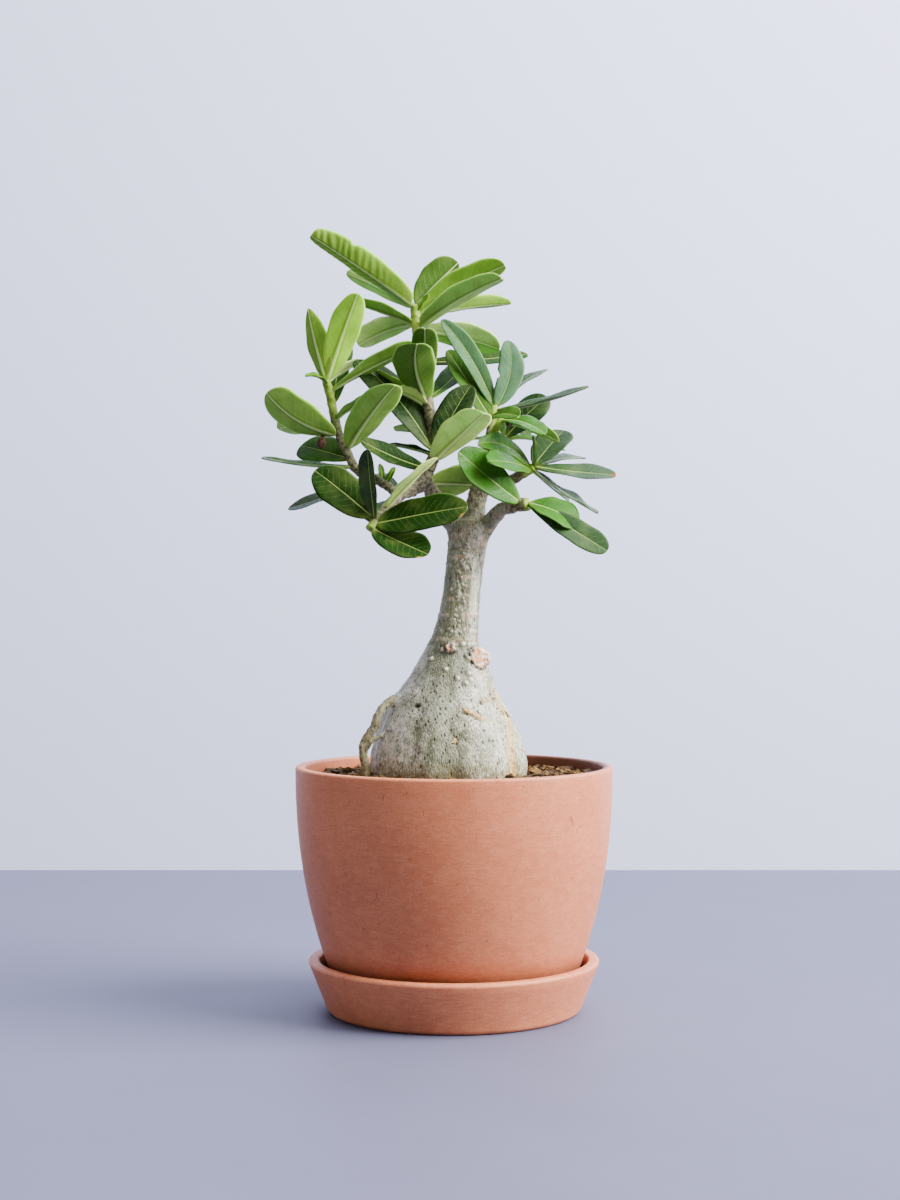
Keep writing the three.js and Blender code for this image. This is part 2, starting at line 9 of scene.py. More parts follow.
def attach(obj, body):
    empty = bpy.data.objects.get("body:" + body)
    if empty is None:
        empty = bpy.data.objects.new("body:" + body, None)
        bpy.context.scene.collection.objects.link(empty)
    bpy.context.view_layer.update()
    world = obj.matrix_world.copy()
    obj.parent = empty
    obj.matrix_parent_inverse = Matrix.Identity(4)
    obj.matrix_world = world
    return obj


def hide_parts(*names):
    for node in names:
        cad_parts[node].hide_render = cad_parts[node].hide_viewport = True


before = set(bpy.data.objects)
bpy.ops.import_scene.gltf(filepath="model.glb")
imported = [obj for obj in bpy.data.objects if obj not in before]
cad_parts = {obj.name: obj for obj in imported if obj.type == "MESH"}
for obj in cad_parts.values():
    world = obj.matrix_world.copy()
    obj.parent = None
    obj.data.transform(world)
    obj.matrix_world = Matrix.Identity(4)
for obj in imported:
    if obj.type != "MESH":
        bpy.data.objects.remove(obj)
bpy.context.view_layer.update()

# Table and wall
# A pale blue-grey matt table top ends in front of a plain off-white plastered wall. They are only
# the place the plant stands in, lit like a room by a window on the right.
MM = 0.001


def paint(red, green, blue):
    """A colour as it is read on a screen, from 0 to 255, as the shader's linear light."""
    linear = [
        v / 12.92 if v <= 0.04045 else ((v + 0.055) / 1.055) ** 2.4
        for v in (red / 255, green / 255, blue / 255)
    ]
    return (*linear, 1.0)


class Finish:
    """One finish for a piece: a Principled shader, its coats of colour and what feeds them."""

    def __init__(self, name, roughness, specular):
        self.material = bpy.data.materials.new(name)
        self.material.use_nodes = True
        self.tree = self.material.node_tree
        self.shader = self.tree.nodes["Principled BSDF"]
        self.place = self.add("ShaderNodeTexCoord", {}, "Object")
        self.roughness(roughness)
        self.put(specular, self.shader.inputs["Specular IOR Level"])

    def put(self, value, socket):
        """A value or another node's output goes into a socket."""
        if isinstance(value, bpy.types.NodeSocket):
            self.tree.links.new(value, socket)
        else:
            socket.default_value = value

    def add(self, kind, inputs, output=0, **settings):
        """One output of a new node of this kind, with its inputs filled."""
        node = self.tree.nodes.new(kind)
        for key, value in settings.items():
            setattr(node, key, value)
        for key, value in inputs.items():
            self.put(value, node.inputs[key])
        return node.outputs[output]

    def places(self, stretch=None, turn=(0, 0, 0)):
        """The places on the piece, scaled and turned where a stretch is given."""
        if stretch is None:
            return self.place
        inputs = {"Vector": self.place, "Scale": stretch, "Rotation": turn}
        return self.add("ShaderNodeMapping", inputs)

    def grain(self, size, detail, rough=0.55, stretch=None, turn=(0, 0, 0), distortion=0.0):
        """Soft noise with grains of about this many millimetres, from 0 to 1."""
        inputs = {
            "Vector": self.places(stretch, turn),
            "Scale": 1 / (size * MM),
            "Detail": detail,
            "Roughness": rough,
            "Distortion": distortion,
        }
        return self.add("ShaderNodeTexNoise", inputs)

    def cells(self, size, vector, feature="F1"):
        """Distances in cells of about this many millimetres."""
        inputs = {"Vector": vector, "Scale": 1 / (size * MM)}
        return self.add("ShaderNodeTexVoronoi", inputs, "Distance", feature=feature)

    def maths(self, operation, *values):
        """The result of one Math node."""
        return self.add("ShaderNodeMath", dict(enumerate(values)), operation=operation)

    def times(self, first, second):
        return self.maths("MULTIPLY", first, second)

    def step(self, value, low, high, out_low=0.0, out_high=1.0):
        """A smooth step from one value to another while the input goes from low to high."""
        inputs = {
            "Value": value,
            "From Min": low,
            "From Max": high,
            "To Min": out_low,
            "To Max": out_high,
        }
        return self.add("ShaderNodeMapRange", inputs, interpolation_type="SMOOTHSTEP")

    def blend(self, share, first, second, blend_type="MIX"):
        """Two colours mixed: all of the first at share 0, all of the second at 1."""
        node = self.tree.nodes.new("ShaderNodeMix")
        node.data_type = "RGBA"
        node.blend_type = blend_type
        self.put(share, node.inputs[0])
        self.put(first, node.inputs[6])
        self.put(second, node.inputs[7])
        return node.outputs[2]

    def two_tone(self, grain, low, high, first, second):
        """Two colours, mixed by where a grain lies between low and high."""
        return self.blend(self.step(grain, low, high), first, second)

    def painted(self, name, output="Fac"):
        """An attribute painted on the mesh."""
        return self.add("ShaderNodeAttribute", {}, output, attribute_name=name)

    def base(self, colour):
        """The colour of the piece, under any coats that follow."""
        self.colour = colour
        self.put(colour, self.shader.inputs["Base Color"])

    def coat(self, share, colour):
        """One more coat of colour, which covers those before it where the share is 1."""
        self.base(self.blend(share, self.colour, colour))

    def roughness(self, value):
        self.put(value, self.shader.inputs["Roughness"])

    def relief(self, height, distance, strength):
        """Fine relief: height from 0 to 1 stands for this many millimetres."""
        inputs = {"Height": height, "Distance": distance * MM, "Strength": strength}
        self.put(self.add("ShaderNodeBump", inputs), self.shader.inputs["Normal"])


def piece(name, mesh, finishes, smooth=True):
    """A bmesh in millimetres becomes an object in metres, at the origin."""
    bmesh.ops.scale(mesh, vec=(MM, MM, MM), verts=mesh.verts)
    data = bpy.data.meshes.new(name)
    mesh.to_mesh(data)
    mesh.free()
    for finish in finishes:
        data.materials.append(finish.material)
    data.polygons.foreach_set("use_smooth", [smooth] * len(data.polygons))
    obj = bpy.data.objects.new(name, data)
    bpy.context.scene.collection.objects.link(obj)
    return obj


TABLE_HALF_WIDTH = 1600
TABLE_FRONT = -1500
TABLE_BACK = 470
WALL_Y = 1100
WALL_FOOT = -700
WALL_TOP = 2300
WALL_HALF_WIDTH = 2400

table_top = Finish("table_top", 0.6, 0.2)
table_top.base(
    table_top.blend(table_top.grain(60, 4), paint(93, 94, 116), paint(99, 100, 124))
)
mesh = bmesh.new()
bmesh.ops.create_grid(mesh, x_segments=1, y_segments=1, size=1)
for vertex in mesh.verts:
    vertex.co.x *= TABLE_HALF_WIDTH
    vertex.co.y = TABLE_FRONT if vertex.co.y < 0 else TABLE_BACK
table = piece("table", mesh, [table_top], smooth=False)

wall_plaster = Finish("wall_plaster", 0.9, 0.2)
wall_plaster.base(paint(216, 221, 255))
wall_plaster.relief(wall_plaster.grain(45, 5, 0.5), 0.6, 0.5)
mesh = bmesh.new()
bmesh.ops.create_grid(mesh, x_segments=1, y_segments=1, size=1)
for vertex in mesh.verts:
    vertex.co = (
        vertex.co.x * WALL_HALF_WIDTH,
        WALL_Y,
        WALL_FOOT + (vertex.co.y + 1) / 2 * (WALL_TOP - WALL_FOOT),
    )
wall = piece("wall", mesh, [wall_plaster], smooth=False)


def soft_light(name, place, size, watts, colour, target=(0, 0, 180)):
    """A large soft area light, aimed at the trunk unless it has another target."""
    lamp = bpy.data.lights.new(name, "AREA")
    lamp.shape = "RECTANGLE"
    lamp.size, lamp.size_y = size[0] * MM, size[1] * MM
    lamp.energy = watts
    lamp.color = colour
    obj = bpy.data.objects.new(name, lamp)
    away = Vector(place) - Vector(target)
    obj.location = Vector(place) * MM
    obj.rotation_euler = away.to_track_quat("Z", "Y").to_euler()
    bpy.context.scene.collection.objects.link(obj)


soft_light("window", (1690, -420, 1400), (1600, 1700), 250, (1.0, 0.985, 0.98))
soft_light("ceiling", (150, -150, 1900), (1500, 1300), 52, (0.94, 0.96, 1.0))
soft_light("wall_wash", (-200, 680, 1900), (1800, 500), 4.5, (0.92, 0.95, 1.0), (0, 1100, 500))
soft_light("room_left", (-1500, -650, 500), (1300, 1100), 5.5, (0.96, 0.97, 1.0))

sky = bpy.data.worlds.new("room")
bpy.context.scene.world = sky
sky.use_nodes = True
sky.node_tree.nodes["Background"].inputs["Color"].default_value = (0.86, 0.89, 1, 1)
sky.node_tree.nodes["Background"].inputs["Strength"].default_value = 0.15

# Camera
# It stands level in front of the plant, at the height of the lower trunk.
CAMERA_PLACE = (-1.9, -920, 193.7)
CAMERA_LENS = 58.14
CAMERA_SENSOR = 36

lens = bpy.data.cameras.new("camera")
lens.lens = CAMERA_LENS
lens.sensor_width = CAMERA_SENSOR
camera = bpy.data.objects.new("camera", lens)
camera.location = Vector(CAMERA_PLACE) * MM
camera.rotation_euler = (math.radians(90), 0, 0)
bpy.context.scene.collection.objects.link(camera)
bpy.context.scene.camera = camera

# Saucer
# One thick flared dish of clay-coloured composite, moulded in one piece, matt and faintly mottled.
# The pot stands loose in it, and its inside below the rim is painted dark as shade.
TURNED_SIDES = 160
SAUCER_FOOT_RADIUS = 57.5
SAUCER_RIM_RADIUS = 68.7
SAUCER_HEIGHT = 24.5
SAUCER_WALL = 5.4
SAUCER_FLOOR = 6
EDGE_LEAN = 12  # degrees from upright where a rounded edge meets a wall
RIM_EDGE, FOOT_EDGE, FLOOR_EDGE = 1.5, 3.2, 3.1  # radii of its rounded edges
POT_FOOT_RADIUS = 54
ROOM_ROUND_POT = 1.1
SAUCER_SHADE_FADE = 4


def arc(centre, radius, start, end, steps):
    """Points on a rounded edge, from one angle to another in degrees."""
    angles = [math.radians(start + (end - start) * i / steps) for i in range(steps + 1)]
    return [
        (centre[0] + radius * math.cos(a), centre[1] + radius * math.sin(a)) for a in angles
    ]


def turned(profile):
    """A profile of (radius, height) points spun round the Z axis."""
    mesh = bmesh.new()
    points = [mesh.verts.new((radius, 0, height)) for radius, height in profile]
    edges = [mesh.edges.new(pair) for pair in zip(points, points[1:])]
    bmesh.ops.spin(
        mesh,
        geom=points + edges,
        cent=(0, 0, 0),
        axis=(0, 0, 1),
        angle=2 * math.pi,
        steps=TURNED_SIDES,
        use_merge=True,
    )
    bmesh.ops.remove_doubles(mesh, verts=mesh.verts, dist=0.001)
    bmesh.ops.recalc_face_normals(mesh, faces=mesh.faces)
    return mesh


def straight(start, end, steps):
    """Points between two ends of a profile, both ends left out."""
    return [
        (
            start[0] + (end[0] - start[0]) * i / steps,
            start[1] + (end[1] - start[1]) * i / steps,
        )
        for i in range(1, steps)
    ]


def clay(name, shades):
    """The moulded clay-coloured composite: mottled, brushed fine, specked and scuffed."""
    even, warm, light, deep, pale, worn = [paint(*shade) for shade in shades]
    finish = Finish(name, 0.5, 0.3)
    cloud = finish.grain(26, 4, 0.6)
    blotch = finish.grain(5, 5, 0.7, stretch=(0.8, 0.8, 1.5))
    brushed = finish.grain(0.8, 4, 0.7, stretch=(0.16, 0.16, 1))
    sand = finish.grain(0.6, 3, 0.7)
    speck = finish.cells(1.9, finish.place)
    speck_field = finish.grain(5, 2)
    scuff = finish.grain(3.0, 2, 0.7, stretch=(1, 1, 0.35), turn=(0.5, 0.3, 0.2), distortion=1.5)
    finish.base(finish.two_tone(cloud, 0.3, 0.7, even, warm))
    finish.coat(finish.step(blotch, 0.42, 0.68, 0, 0.5), light)
    finish.coat(finish.step(brushed, 0.42, 0.66, 0, 0.42), deep)
    finish.coat(finish.step(sand, 0.5, 0.66, 0, 0.4), deep)
    finish.coat(finish.step(sand, 0.36, 0.46, 0.25, 0), pale)
    speck_share = finish.step(speck, 0.05, 0.2, 0.7, 0.0)
    finish.coat(finish.times(speck_share, finish.step(speck_field, 0.45, 0.7)), pale)
    finish.coat(finish.step(scuff, 0.66, 0.74, 0, 0.6), worn)
    # painted shade: dark wherever the mesh marks shade, inside the saucer, low on the pot and on the
    # right of its inner wall
    finish.coat(finish.times(finish.painted("painted_shade"), 0.9), paint(56, 30, 20))
    finish.roughness(finish.step(blotch, 0.35, 0.65, 0.4, 0.54))
    grainy = finish.maths("ADD", brushed, finish.times(sand, 0.7))
    finish.relief(finish.maths("ADD", grainy, blotch), 0.14, 0.5)
    return finish


saucer_clay = clay(
    "saucer_clay",
    [(202, 116, 78), (214, 129, 88), (225, 143, 102), (176, 96, 63), (240, 166, 124), (128, 65, 43)],
)
inner_rim = SAUCER_RIM_RADIUS - SAUCER_WALL
rim_edge_z = SAUCER_HEIGHT - RIM_EDGE
inner_foot = POT_FOOT_RADIUS + ROOM_ROUND_POT
outer_low = arc((SAUCER_FOOT_RADIUS, FOOT_EDGE), FOOT_EDGE, -90, -EDGE_LEAN, 8)
outer_high = arc((SAUCER_RIM_RADIUS - RIM_EDGE, rim_edge_z), RIM_EDGE, -EDGE_LEAN, 90, 8)
inner_high = arc((inner_rim + RIM_EDGE, rim_edge_z), RIM_EDGE, 90, 180 - EDGE_LEAN, 6)
inner_low = arc((inner_foot, SAUCER_FLOOR + FLOOR_EDGE), FLOOR_EDGE, -EDGE_LEAN, -90, 6)
saucer_profile = [
    (0, 0),
    *straight((0, 0), outer_low[0], 8),
    *outer_low,
    *straight(outer_low[-1], outer_high[0], 6),
    *outer_high,
    *inner_high,
    *straight(inner_high[-1], inner_low[0], 4),
    *inner_low,
    *straight(inner_low[-1], (0, SAUCER_FLOOR), 8),
    (0, SAUCER_FLOOR),
]
mesh = turned(saucer_profile)
# painted shade: the saucer's inside darkens below its rim, round the pot's foot
painted_shade = mesh.verts.layers.float.new("painted_shade")
for vertex in mesh.verts:
    out = math.hypot(vertex.co.x, vertex.co.y)
    flare = (SAUCER_RIM_RADIUS - SAUCER_FOOT_RADIUS) * vertex.co.z / SAUCER_HEIGHT
    inside = vertex.co.z > SAUCER_FLOOR - 1 and out < SAUCER_FOOT_RADIUS + flare - SAUCER_WALL / 2
    below_rim = (SAUCER_HEIGHT - RIM_EDGE - vertex.co.z) / SAUCER_SHADE_FADE
    vertex[painted_shade] = inside * min(1, max(0, below_rim))
saucer = piece("saucer_dish", mesh, [saucer_clay])
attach(saucer, "root")
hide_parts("saucer")

# Pot
# One moulded wall that swings out from the foot and stands almost upright at the rim, of the same
# composite as the saucer, with a drain hole in its floor. It stands on the saucer's floor.
POT_BELLY_RADIUS = 75.1
POT_BASE_Z = 6.3
POT_RIM_Z = 115.3
POT_WALL = 4.5
POT_FLOOR = 6
POT_CURVE = 2.22
POT_EDGE = 1.3
POT_FOOT_EDGE = 2
DRAIN_RADIUS = 6
SHADE_RISE = 9  # how far the painted shade reaches up the pot above the saucer's rim
SHADE_FADE = 17


def pot_radius(height):
    """The radius of the pot's outer side at a height."""
    rise = min(1, max(0, (height - POT_BASE_Z) / (POT_RIM_Z - POT_BASE_Z)))
    return POT_BELLY_RADIUS - (POT_BELLY_RADIUS - POT_FOOT_RADIUS) * (1 - rise) ** POT_CURVE


pot_clay = clay(
    "pot_clay",
    [(196, 112, 72), (208, 123, 82), (220, 138, 98), (176, 96, 64), (234, 160, 119), (128, 64, 41)],
)
rim_radius = pot_radius(POT_RIM_Z)
floor_z = POT_BASE_Z + POT_FLOOR
wall_low = POT_BASE_Z + POT_FOOT_EDGE
foot_centre = POT_FOOT_RADIUS - 0.8 * POT_FOOT_EDGE
wall_top = POT_RIM_Z - POT_EDGE
wall_steps = 34
wall_heights = [wall_low + (wall_top - wall_low) * i / wall_steps for i in range(wall_steps + 1)]
pot_profile = [
    (DRAIN_RADIUS, floor_z),
    (DRAIN_RADIUS, POT_BASE_Z),
    *straight((DRAIN_RADIUS, POT_BASE_Z), (POT_FOOT_RADIUS - POT_FOOT_EDGE, POT_BASE_Z), 8),
    *arc((foot_centre, wall_low), POT_FOOT_EDGE, -90, -10, 5)[:-1],
    *[(pot_radius(height), height) for height in wall_heights[1:]],
    *arc((rim_radius - POT_EDGE, wall_top), POT_EDGE, 0, 90, 6)[1:],
    *arc((rim_radius - POT_WALL + POT_EDGE, wall_top), POT_EDGE, 90, 180, 6),
    *[
        (pot_radius(height) - POT_WALL, height)
        for height in reversed(wall_heights)
        if floor_z < height < wall_top - POT_EDGE
    ],
    (pot_radius(floor_z) - POT_WALL, floor_z),
    *straight((pot_radius(floor_z) - POT_WALL, floor_z), (DRAIN_RADIUS, floor_z), 6),
    (DRAIN_RADIUS, floor_z),
]
mesh = turned(pot_profile)
painted_shade = mesh.verts.layers.float.new("painted_shade")
for vertex in mesh.verts:
    x, y, z = vertex.co
    inside = z > floor_z and math.hypot(x, y) < pot_radius(z) - POT_WALL / 2
    low_down = (SAUCER_HEIGHT + SHADE_RISE - z) / SHADE_FADE
    # painted shade: the pot darkens low down by the saucer, and above the soil its inner wall darkens on
    # the right, which faces away from the window
    vertex[painted_shade] = min(1, max(0, low_down, inside * min(0.9, (x - 5) / 40)))
pot = piece("pot_wall", mesh, [pot_clay])
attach(pot, "root")
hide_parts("pot")

# Soil
# Damp dark potting mix that fills the pot to a few millimetres below its rim, with brown bark
# chips and crumbs pressed into its top. It is loose, and the plant grows out of it.
SOIL_EDGE_Z = 109.6
SOIL_CENTRE_Z = 111.8
SOIL_CRUMBS = 900
SOIL_CHIPS = 230
SOIL_TO_WALL = 0.3
CAUDEX_HOLE_RADIUS = 33

damp_soil = Finish("damp_soil", 0.9, 0.25)
damp_soil.base(
    damp_soil.two_tone(
        damp_soil.grain(1.6, 4, 0.7), 0.35, 0.7, paint(34, 23, 12), paint(86, 62, 32)
    )
)
damp_soil.coat(damp_soil.times(damp_soil.painted("chip_tone"), 0.85), paint(142, 106, 60))
damp_soil.coat(damp_soil.step(damp_soil.grain(0.5, 2, 0.6), 0.5, 0.8, 0, 0.5), paint(44, 30, 16))
damp_soil.relief(damp_soil.grain(0.7, 3, 0.7), 0.3, 0.8)

soil_side = [12.6, 17, 28, 42, 60, 82, 100, SOIL_EDGE_Z]
soil_wall = [(pot_radius(height) - POT_WALL - SOIL_TO_WALL, height) for height in soil_side]
soil_radius = soil_wall[-1][0]
mesh = turned(
    [
        (0, soil_side[0]),
        *soil_wall,
        *straight((soil_radius, SOIL_EDGE_Z), (0, SOIL_CENTRE_Z), 46),
        (0, SOIL_CENTRE_Z),
    ]
)


def soil_height(x, y):
    """How high the soil's lumpy top stands at a place."""
    out = min(1, math.hypot(x, y) / soil_radius)
    level = SOIL_CENTRE_Z + (SOIL_EDGE_Z - SOIL_CENTRE_Z) * out
    lumps = noise.noise(Vector((x, y, 0)) * 0.09) * 1.6
    crumbs = noise.noise(Vector((x, y, 9)) * 0.33) * 0.9
    return level + (lumps + crumbs) * (1 - out**8)


for vertex in mesh.verts:
    if vertex.co.z > SOIL_EDGE_Z + 0.01:
        vertex.co.z = soil_height(vertex.co.x, vertex.co.y)

tone = mesh.verts.layers.float.new("chip_tone")
draw = random.Random(12)
for number in range(SOIL_CRUMBS + SOIL_CHIPS):
    is_chip = number >= SOIL_CRUMBS
    angle = draw.uniform(0, 2 * math.pi)
    out = math.sqrt(draw.uniform(CAUDEX_HOLE_RADIUS**2, (soil_radius - 2.5) ** 2))
    x, y = out * math.cos(angle), out * math.sin(angle)
    if is_chip:
        shape = bmesh.ops.create_cube(mesh, size=2)["verts"]
        size = (draw.uniform(1.6, 4.4), draw.uniform(1.1, 2.4), draw.uniform(0.5, 1.1))
        uneven = 0.25
    else:
        shape = bmesh.ops.create_icosphere(mesh, subdivisions=1, radius=1)["verts"]
        grown = draw.uniform(0.5, 1.6)
        size = (grown, grown * draw.uniform(0.6, 1), grown * draw.uniform(0.5, 0.9))
        uneven = 0.3
    turn = Matrix.Identity(3)
    for most, axis in ((None, "Z"), (0.5, "X"), (0.3, "Y")):
        angle = draw.uniform(-most, most) if most else draw.uniform(0, 2 * math.pi)
        turn = turn @ Matrix.Rotation(angle, 3, axis)
    this_tone = draw.random() ** 1.6
    lift = size[2] * draw.uniform(0.1, 0.8)
    for vertex in shape:
        jitter = Vector(draw.uniform(-uneven, uneven) for _ in range(3))
        vertex.co = turn @ Vector((c + j) * s for c, j, s in zip(vertex.co, jitter, size))
        vertex.co += Vector((x, y, soil_height(x, y) + lift))
        vertex[tone] = this_tone
soil = piece("soil_and_bark_chips", mesh, [damp_soil], smooth=False)
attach(soil, "root")
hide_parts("soil")

# Caudex, trunk and bare branches
# The swollen water-storing stem with its lobes, the short trunk, the knobbly leafless branches and
# an aerial root on the left are grown as one, under a pale skin that turns to bark on the branches.
STEM_SECTIONS = [  # height, where its centre lies in X, radius
    (98, -1.9, 34.6),
    (109, -2.2, 37.4),
    (118, -2.3, 37.8),
    (126, -2.6, 36.2),
    (134, -3.0, 33.5),
    (141, -3.2, 30.1),
    (147, -3.6, 26.2),
    (152.5, -2.4, 22.4),
    (158, -1.2, 19.6),
    (165, -1.0, 15.6),
    (172, -0.2, 12.4),
    (180, 1.2, 10.3),
    (192, 3.0, 9.2),
    (208, 4.8, 8.9),
    (220, 6.4, 9.3),
    (227, 7.4, 10),
    (231, 7.8, 8.4),
    (233.5, 8.0, 4),
]
LOBE_VALLEYS = [  # degrees from the front, depth, half width in degrees
    (-28, 1.1, 8),
    (3, 2.3, 9),
    (52, 3.4, 10),
    (98, 2.0, 16),
    (143, 2.8, 15),
    (188, 2.2, 17),
    (232, 3.0, 14),
    (282, 1.6, 12),
    (309, 1.3, 10),
]
BRANCHES = {  # points the branch passes through, its radius at both ends, the share that is bare
    "tall": (
        [(1.9, 0, 225), (-5.2, -6, 237), (-12.7, -14, 249), (-10.8, -13, 257.5),
         (-8.5, -12, 263), (-9.4, -9, 273.6), (-12.3, -5, 286), (-15.7, -1, 303),
         (-17.1, 1, 315), (-18.6, 4, 334)],
        (4.4, 1.7), 0.3,
    ),
    "low_left": (
        [(-12.7, -14, 249), (-19.6, -19, 245.3), (-25.9, -24, 241.3), (-31.8, -29, 235),
         (-38.4, -35, 226)],
        (3.7, 2.4), 0.55,
    ),
    "left": (
        [(-25, -23, 242), (-30.8, -18, 246.3), (-37, -12, 250.4), (-45.8, -6, 255),
         (-50.6, -3, 263.7), (-55, -1, 273.4), (-58.4, 0, 288.6), (-60.7, -1, 298)],
        (2.3, 1.7), 0.115,
    ),
    "upper_right": (
        [(7.6, 0, 225), (10.9, 1, 241), (12.8, 2, 251.7), (14.3, 3, 261.3), (16.3, 7, 268.3),
         (18.3, 10, 278), (19.3, 12, 287)],
        (6.6, 2.1), 0.66,
    ),
    "middle": (
        [(14.2, 3, 260.5), (15.8, -3, 266.6), (18.5, -6, 272.5), (22, -7, 277.5),
         (25.5, -6, 281)],
        (2.4, 1.7), 0.3,
    ),
    "back": (
        [(12.6, 2, 251.5), (15.9, 12, 259.1), (20.5, 23, 266.2), (25.6, 32, 273.3)],
        (2.8, 1.8), 0.33,
    ),
    "right": (
        [(11.6, 1, 245.5), (17.6, 3, 247), (22.4, 3, 249), (28, 1, 251.2), (37.9, -2, 256.7)],
        (3.6, 2.3), 0.4,
    ),
    "low_right": (
        [(10.5, -1, 222), (14.5, -2, 227), (19.5, -6, 233.5), (24, -11, 236.8),
         (34.4, -18, 238.4)],
        (4.8, 3.1), 0.76,
    ),
}
AERIAL_ROOT = [
    (-24, -8, 147), (-29.5, -12, 146.6), (-33, -15, 143.6), (-35.4, -17, 139.4),
    (-37.6, -18, 134), (-41.4, -18, 128.4), (-42.4, -18, 122), (-41, -18, 115),
    (-40.5, -18, 105),
]
ROOT_RADII = (2.3, 2.1)
ROOT_STRAND = [(-41.6, -18, 124.5), (-38.5, -19, 127.6), (-34, -17, 130.5), (-29, -15, 131)]
STRAND_RADII = (1.2, 0.9)
SKIN_VOXEL = 0.68
SKIN_SMOOTHINGS = 3


def curve_value(before, start, end, after, share):
    """A smooth curve from start to end, which also heeds the points before and after them."""
    return 0.5 * (
        2 * start
        + (end - before) * share
        + (2 * before - 5 * start + 4 * end - after) * share**2
        + (3 * start - before - 3 * end + after) * share**3
    )


def stem_section(height):
    """Where the stem's centre lies in X at a height, and its radius there."""
    rows = STEM_SECTIONS
    height = min(max(height, rows[0][0]), rows[-1][0])
    i = max(k for k in range(len(rows) - 1) if rows[k][0] <= height)
    share = (height - rows[i][0]) / (rows[i + 1][0] - rows[i][0])
    around = [rows[max(i - 1, 0)], rows[i], rows[i + 1], rows[min(i + 2, len(rows) - 1)]]
    return [curve_value(*[row[k] for row in around], share) for k in (1, 2)]


def smooth_share(value, low, high):
    """How far a value has come from low to high, from 0 to 1, slow at both ends."""
    share = min(1, max(0, (value - low) / (high - low)))
    return share * share * (3 - 2 * share)


def lobe_depth(degrees, height):
    """How deep the valleys between the lobes are sunk there."""
    strength = smooth_share(164 - height, 0, 34)
    depth = 0
    for valley, deep, half_width in LOBE_VALLEYS:
        away = (degrees - valley + 180) % 360 - 180
        depth += deep * math.exp(-((away / half_width) ** 2))
    return depth * strength


class Line:
    """A smooth line through points, read by the share of its length."""

    def __init__(self, points):
        points = [Vector(p) for p in points]
        ends = [2 * points[0] - points[1], *points, 2 * points[-1] - points[-2]]
        self.places = []
        for i in range(1, len(ends) - 2):
            for k in range(24):
                self.places.append(curve_value(*ends[i - 1 : i + 3], k / 24))
        self.places.append(points[-1])
        self.lengths = [0]
        for a, b in zip(self.places, self.places[1:]):
            self.lengths.append(self.lengths[-1] + (b - a).length)
        self.length = self.lengths[-1]

    def at(self, share):
        """The place and the direction at a share of the length."""
        goal = min(max(share, 0), 1) * self.length
        i = 0
        while i < len(self.lengths) - 2 and self.lengths[i + 1] < goal:
            i += 1
        a, b = self.places[i], self.places[i + 1]
        step = self.lengths[i + 1] - self.lengths[i]
        return a.lerp(b, (goal - self.lengths[i]) / step), (b - a).normalized()


def round_bar(sides, rings):
    """A closed upright bar, one unit high and one in radius, with its side cut into rings."""
    mesh = bmesh.new()
    bmesh.ops.create_cone(mesh, cap_ends=True, segments=sides, radius1=1, radius2=1, depth=1)
    uprights = [e for e in mesh.edges if abs(e.verts[0].co.z - e.verts[1].co.z) > 0.5]
    bmesh.ops.subdivide_edges(mesh, edges=uprights, cuts=rings - 1)
    return mesh


def tube(line, start, end, radius_at, sides, rings):
    """A closed round limb along part of a line; radius_at(share, angle) is its radius."""
    mesh = round_bar(sides, rings)
    for vertex in mesh.verts:
        share = start + (end - start) * (vertex.co.z + 0.5)
        place, along = line.at(share)
        side = Vector((0, 1, 0)).cross(along)
        if side.length < 0.2:
            side = Vector((1, 0, 0)).cross(along)
        side.normalize()
        front = along.cross(side)
        angle = math.atan2(vertex.co.x, -vertex.co.y)
        reach = radius_at(share, angle)
        vertex.co = (
            place + side * math.sin(angle) * reach - front * math.cos(angle) * reach
        )
    return mesh


def join(mesh, part):
    """A part's own mesh is added to a mesh."""
    data = bpy.data.meshes.new("part")
    part.to_mesh(data)
    part.free()
    mesh.from_mesh(data)
    bpy.data.meshes.remove(data)


mesh = round_bar(150, 111)
low, high = STEM_SECTIONS[0][0], STEM_SECTIONS[-1][0]
for vertex in mesh.verts:
    height = low + (high - low) * (vertex.co.z + 0.5)
    centre, radius = stem_section(height)
    angle = math.atan2(vertex.co.x, -vertex.co.y)
    radius -= lobe_depth(math.degrees(angle), height)
    vertex.co = (centre + radius * math.sin(angle), -radius * math.cos(angle), height)


def limb_radius(radii, share):
    """A branch thins fast near the fork and little further out."""
    return radii[1] + (radii[0] - radii[1]) * (1 - share) ** 2


def taper(radii):
    """The same thinning as tube() asks for it."""
    return lambda share, angle: limb_radius(radii, share)


SHOOT_GAP = 0.15
BARE_OVERLAP = 1.2  # how far bare wood reaches into the root of its green end
for points, radii, bare in BRANCHES.values():
    line = Line(points)
    join(mesh, tube(line, 0, bare + BARE_OVERLAP / line.length, taper(radii), 20, 24))
join(mesh, tube(Line(AERIAL_ROOT), 0, 1, taper(ROOT_RADII), 16, 60))
join(mesh, tube(Line(ROOT_STRAND), 0, 1, taper(STRAND_RADII), 12, 20))

# where old branches were pruned: place, outward direction, radius, height of the stub
PRUNING_SCARS = [
    ((11.4, -8.0, 166.6), (0.5, -0.84, 0.16), 4.9, 6.4),
    ((-1.6, -13.6, 171.5), (-0.1, -0.97, 0.25), 2.3, 2.6),
]
for place, outward, radius, depth in PRUNING_SCARS:
    turn = Vector(outward).to_track_quat("Z", "Y").to_matrix().to_4x4()
    bmesh.ops.create_cone(
        mesh,
        cap_ends=True,
        segments=32,
        radius1=radius * 1.15,
        radius2=radius * 0.92,
        depth=depth,
        matrix=Matrix.Translation(place) @ turn,
    )

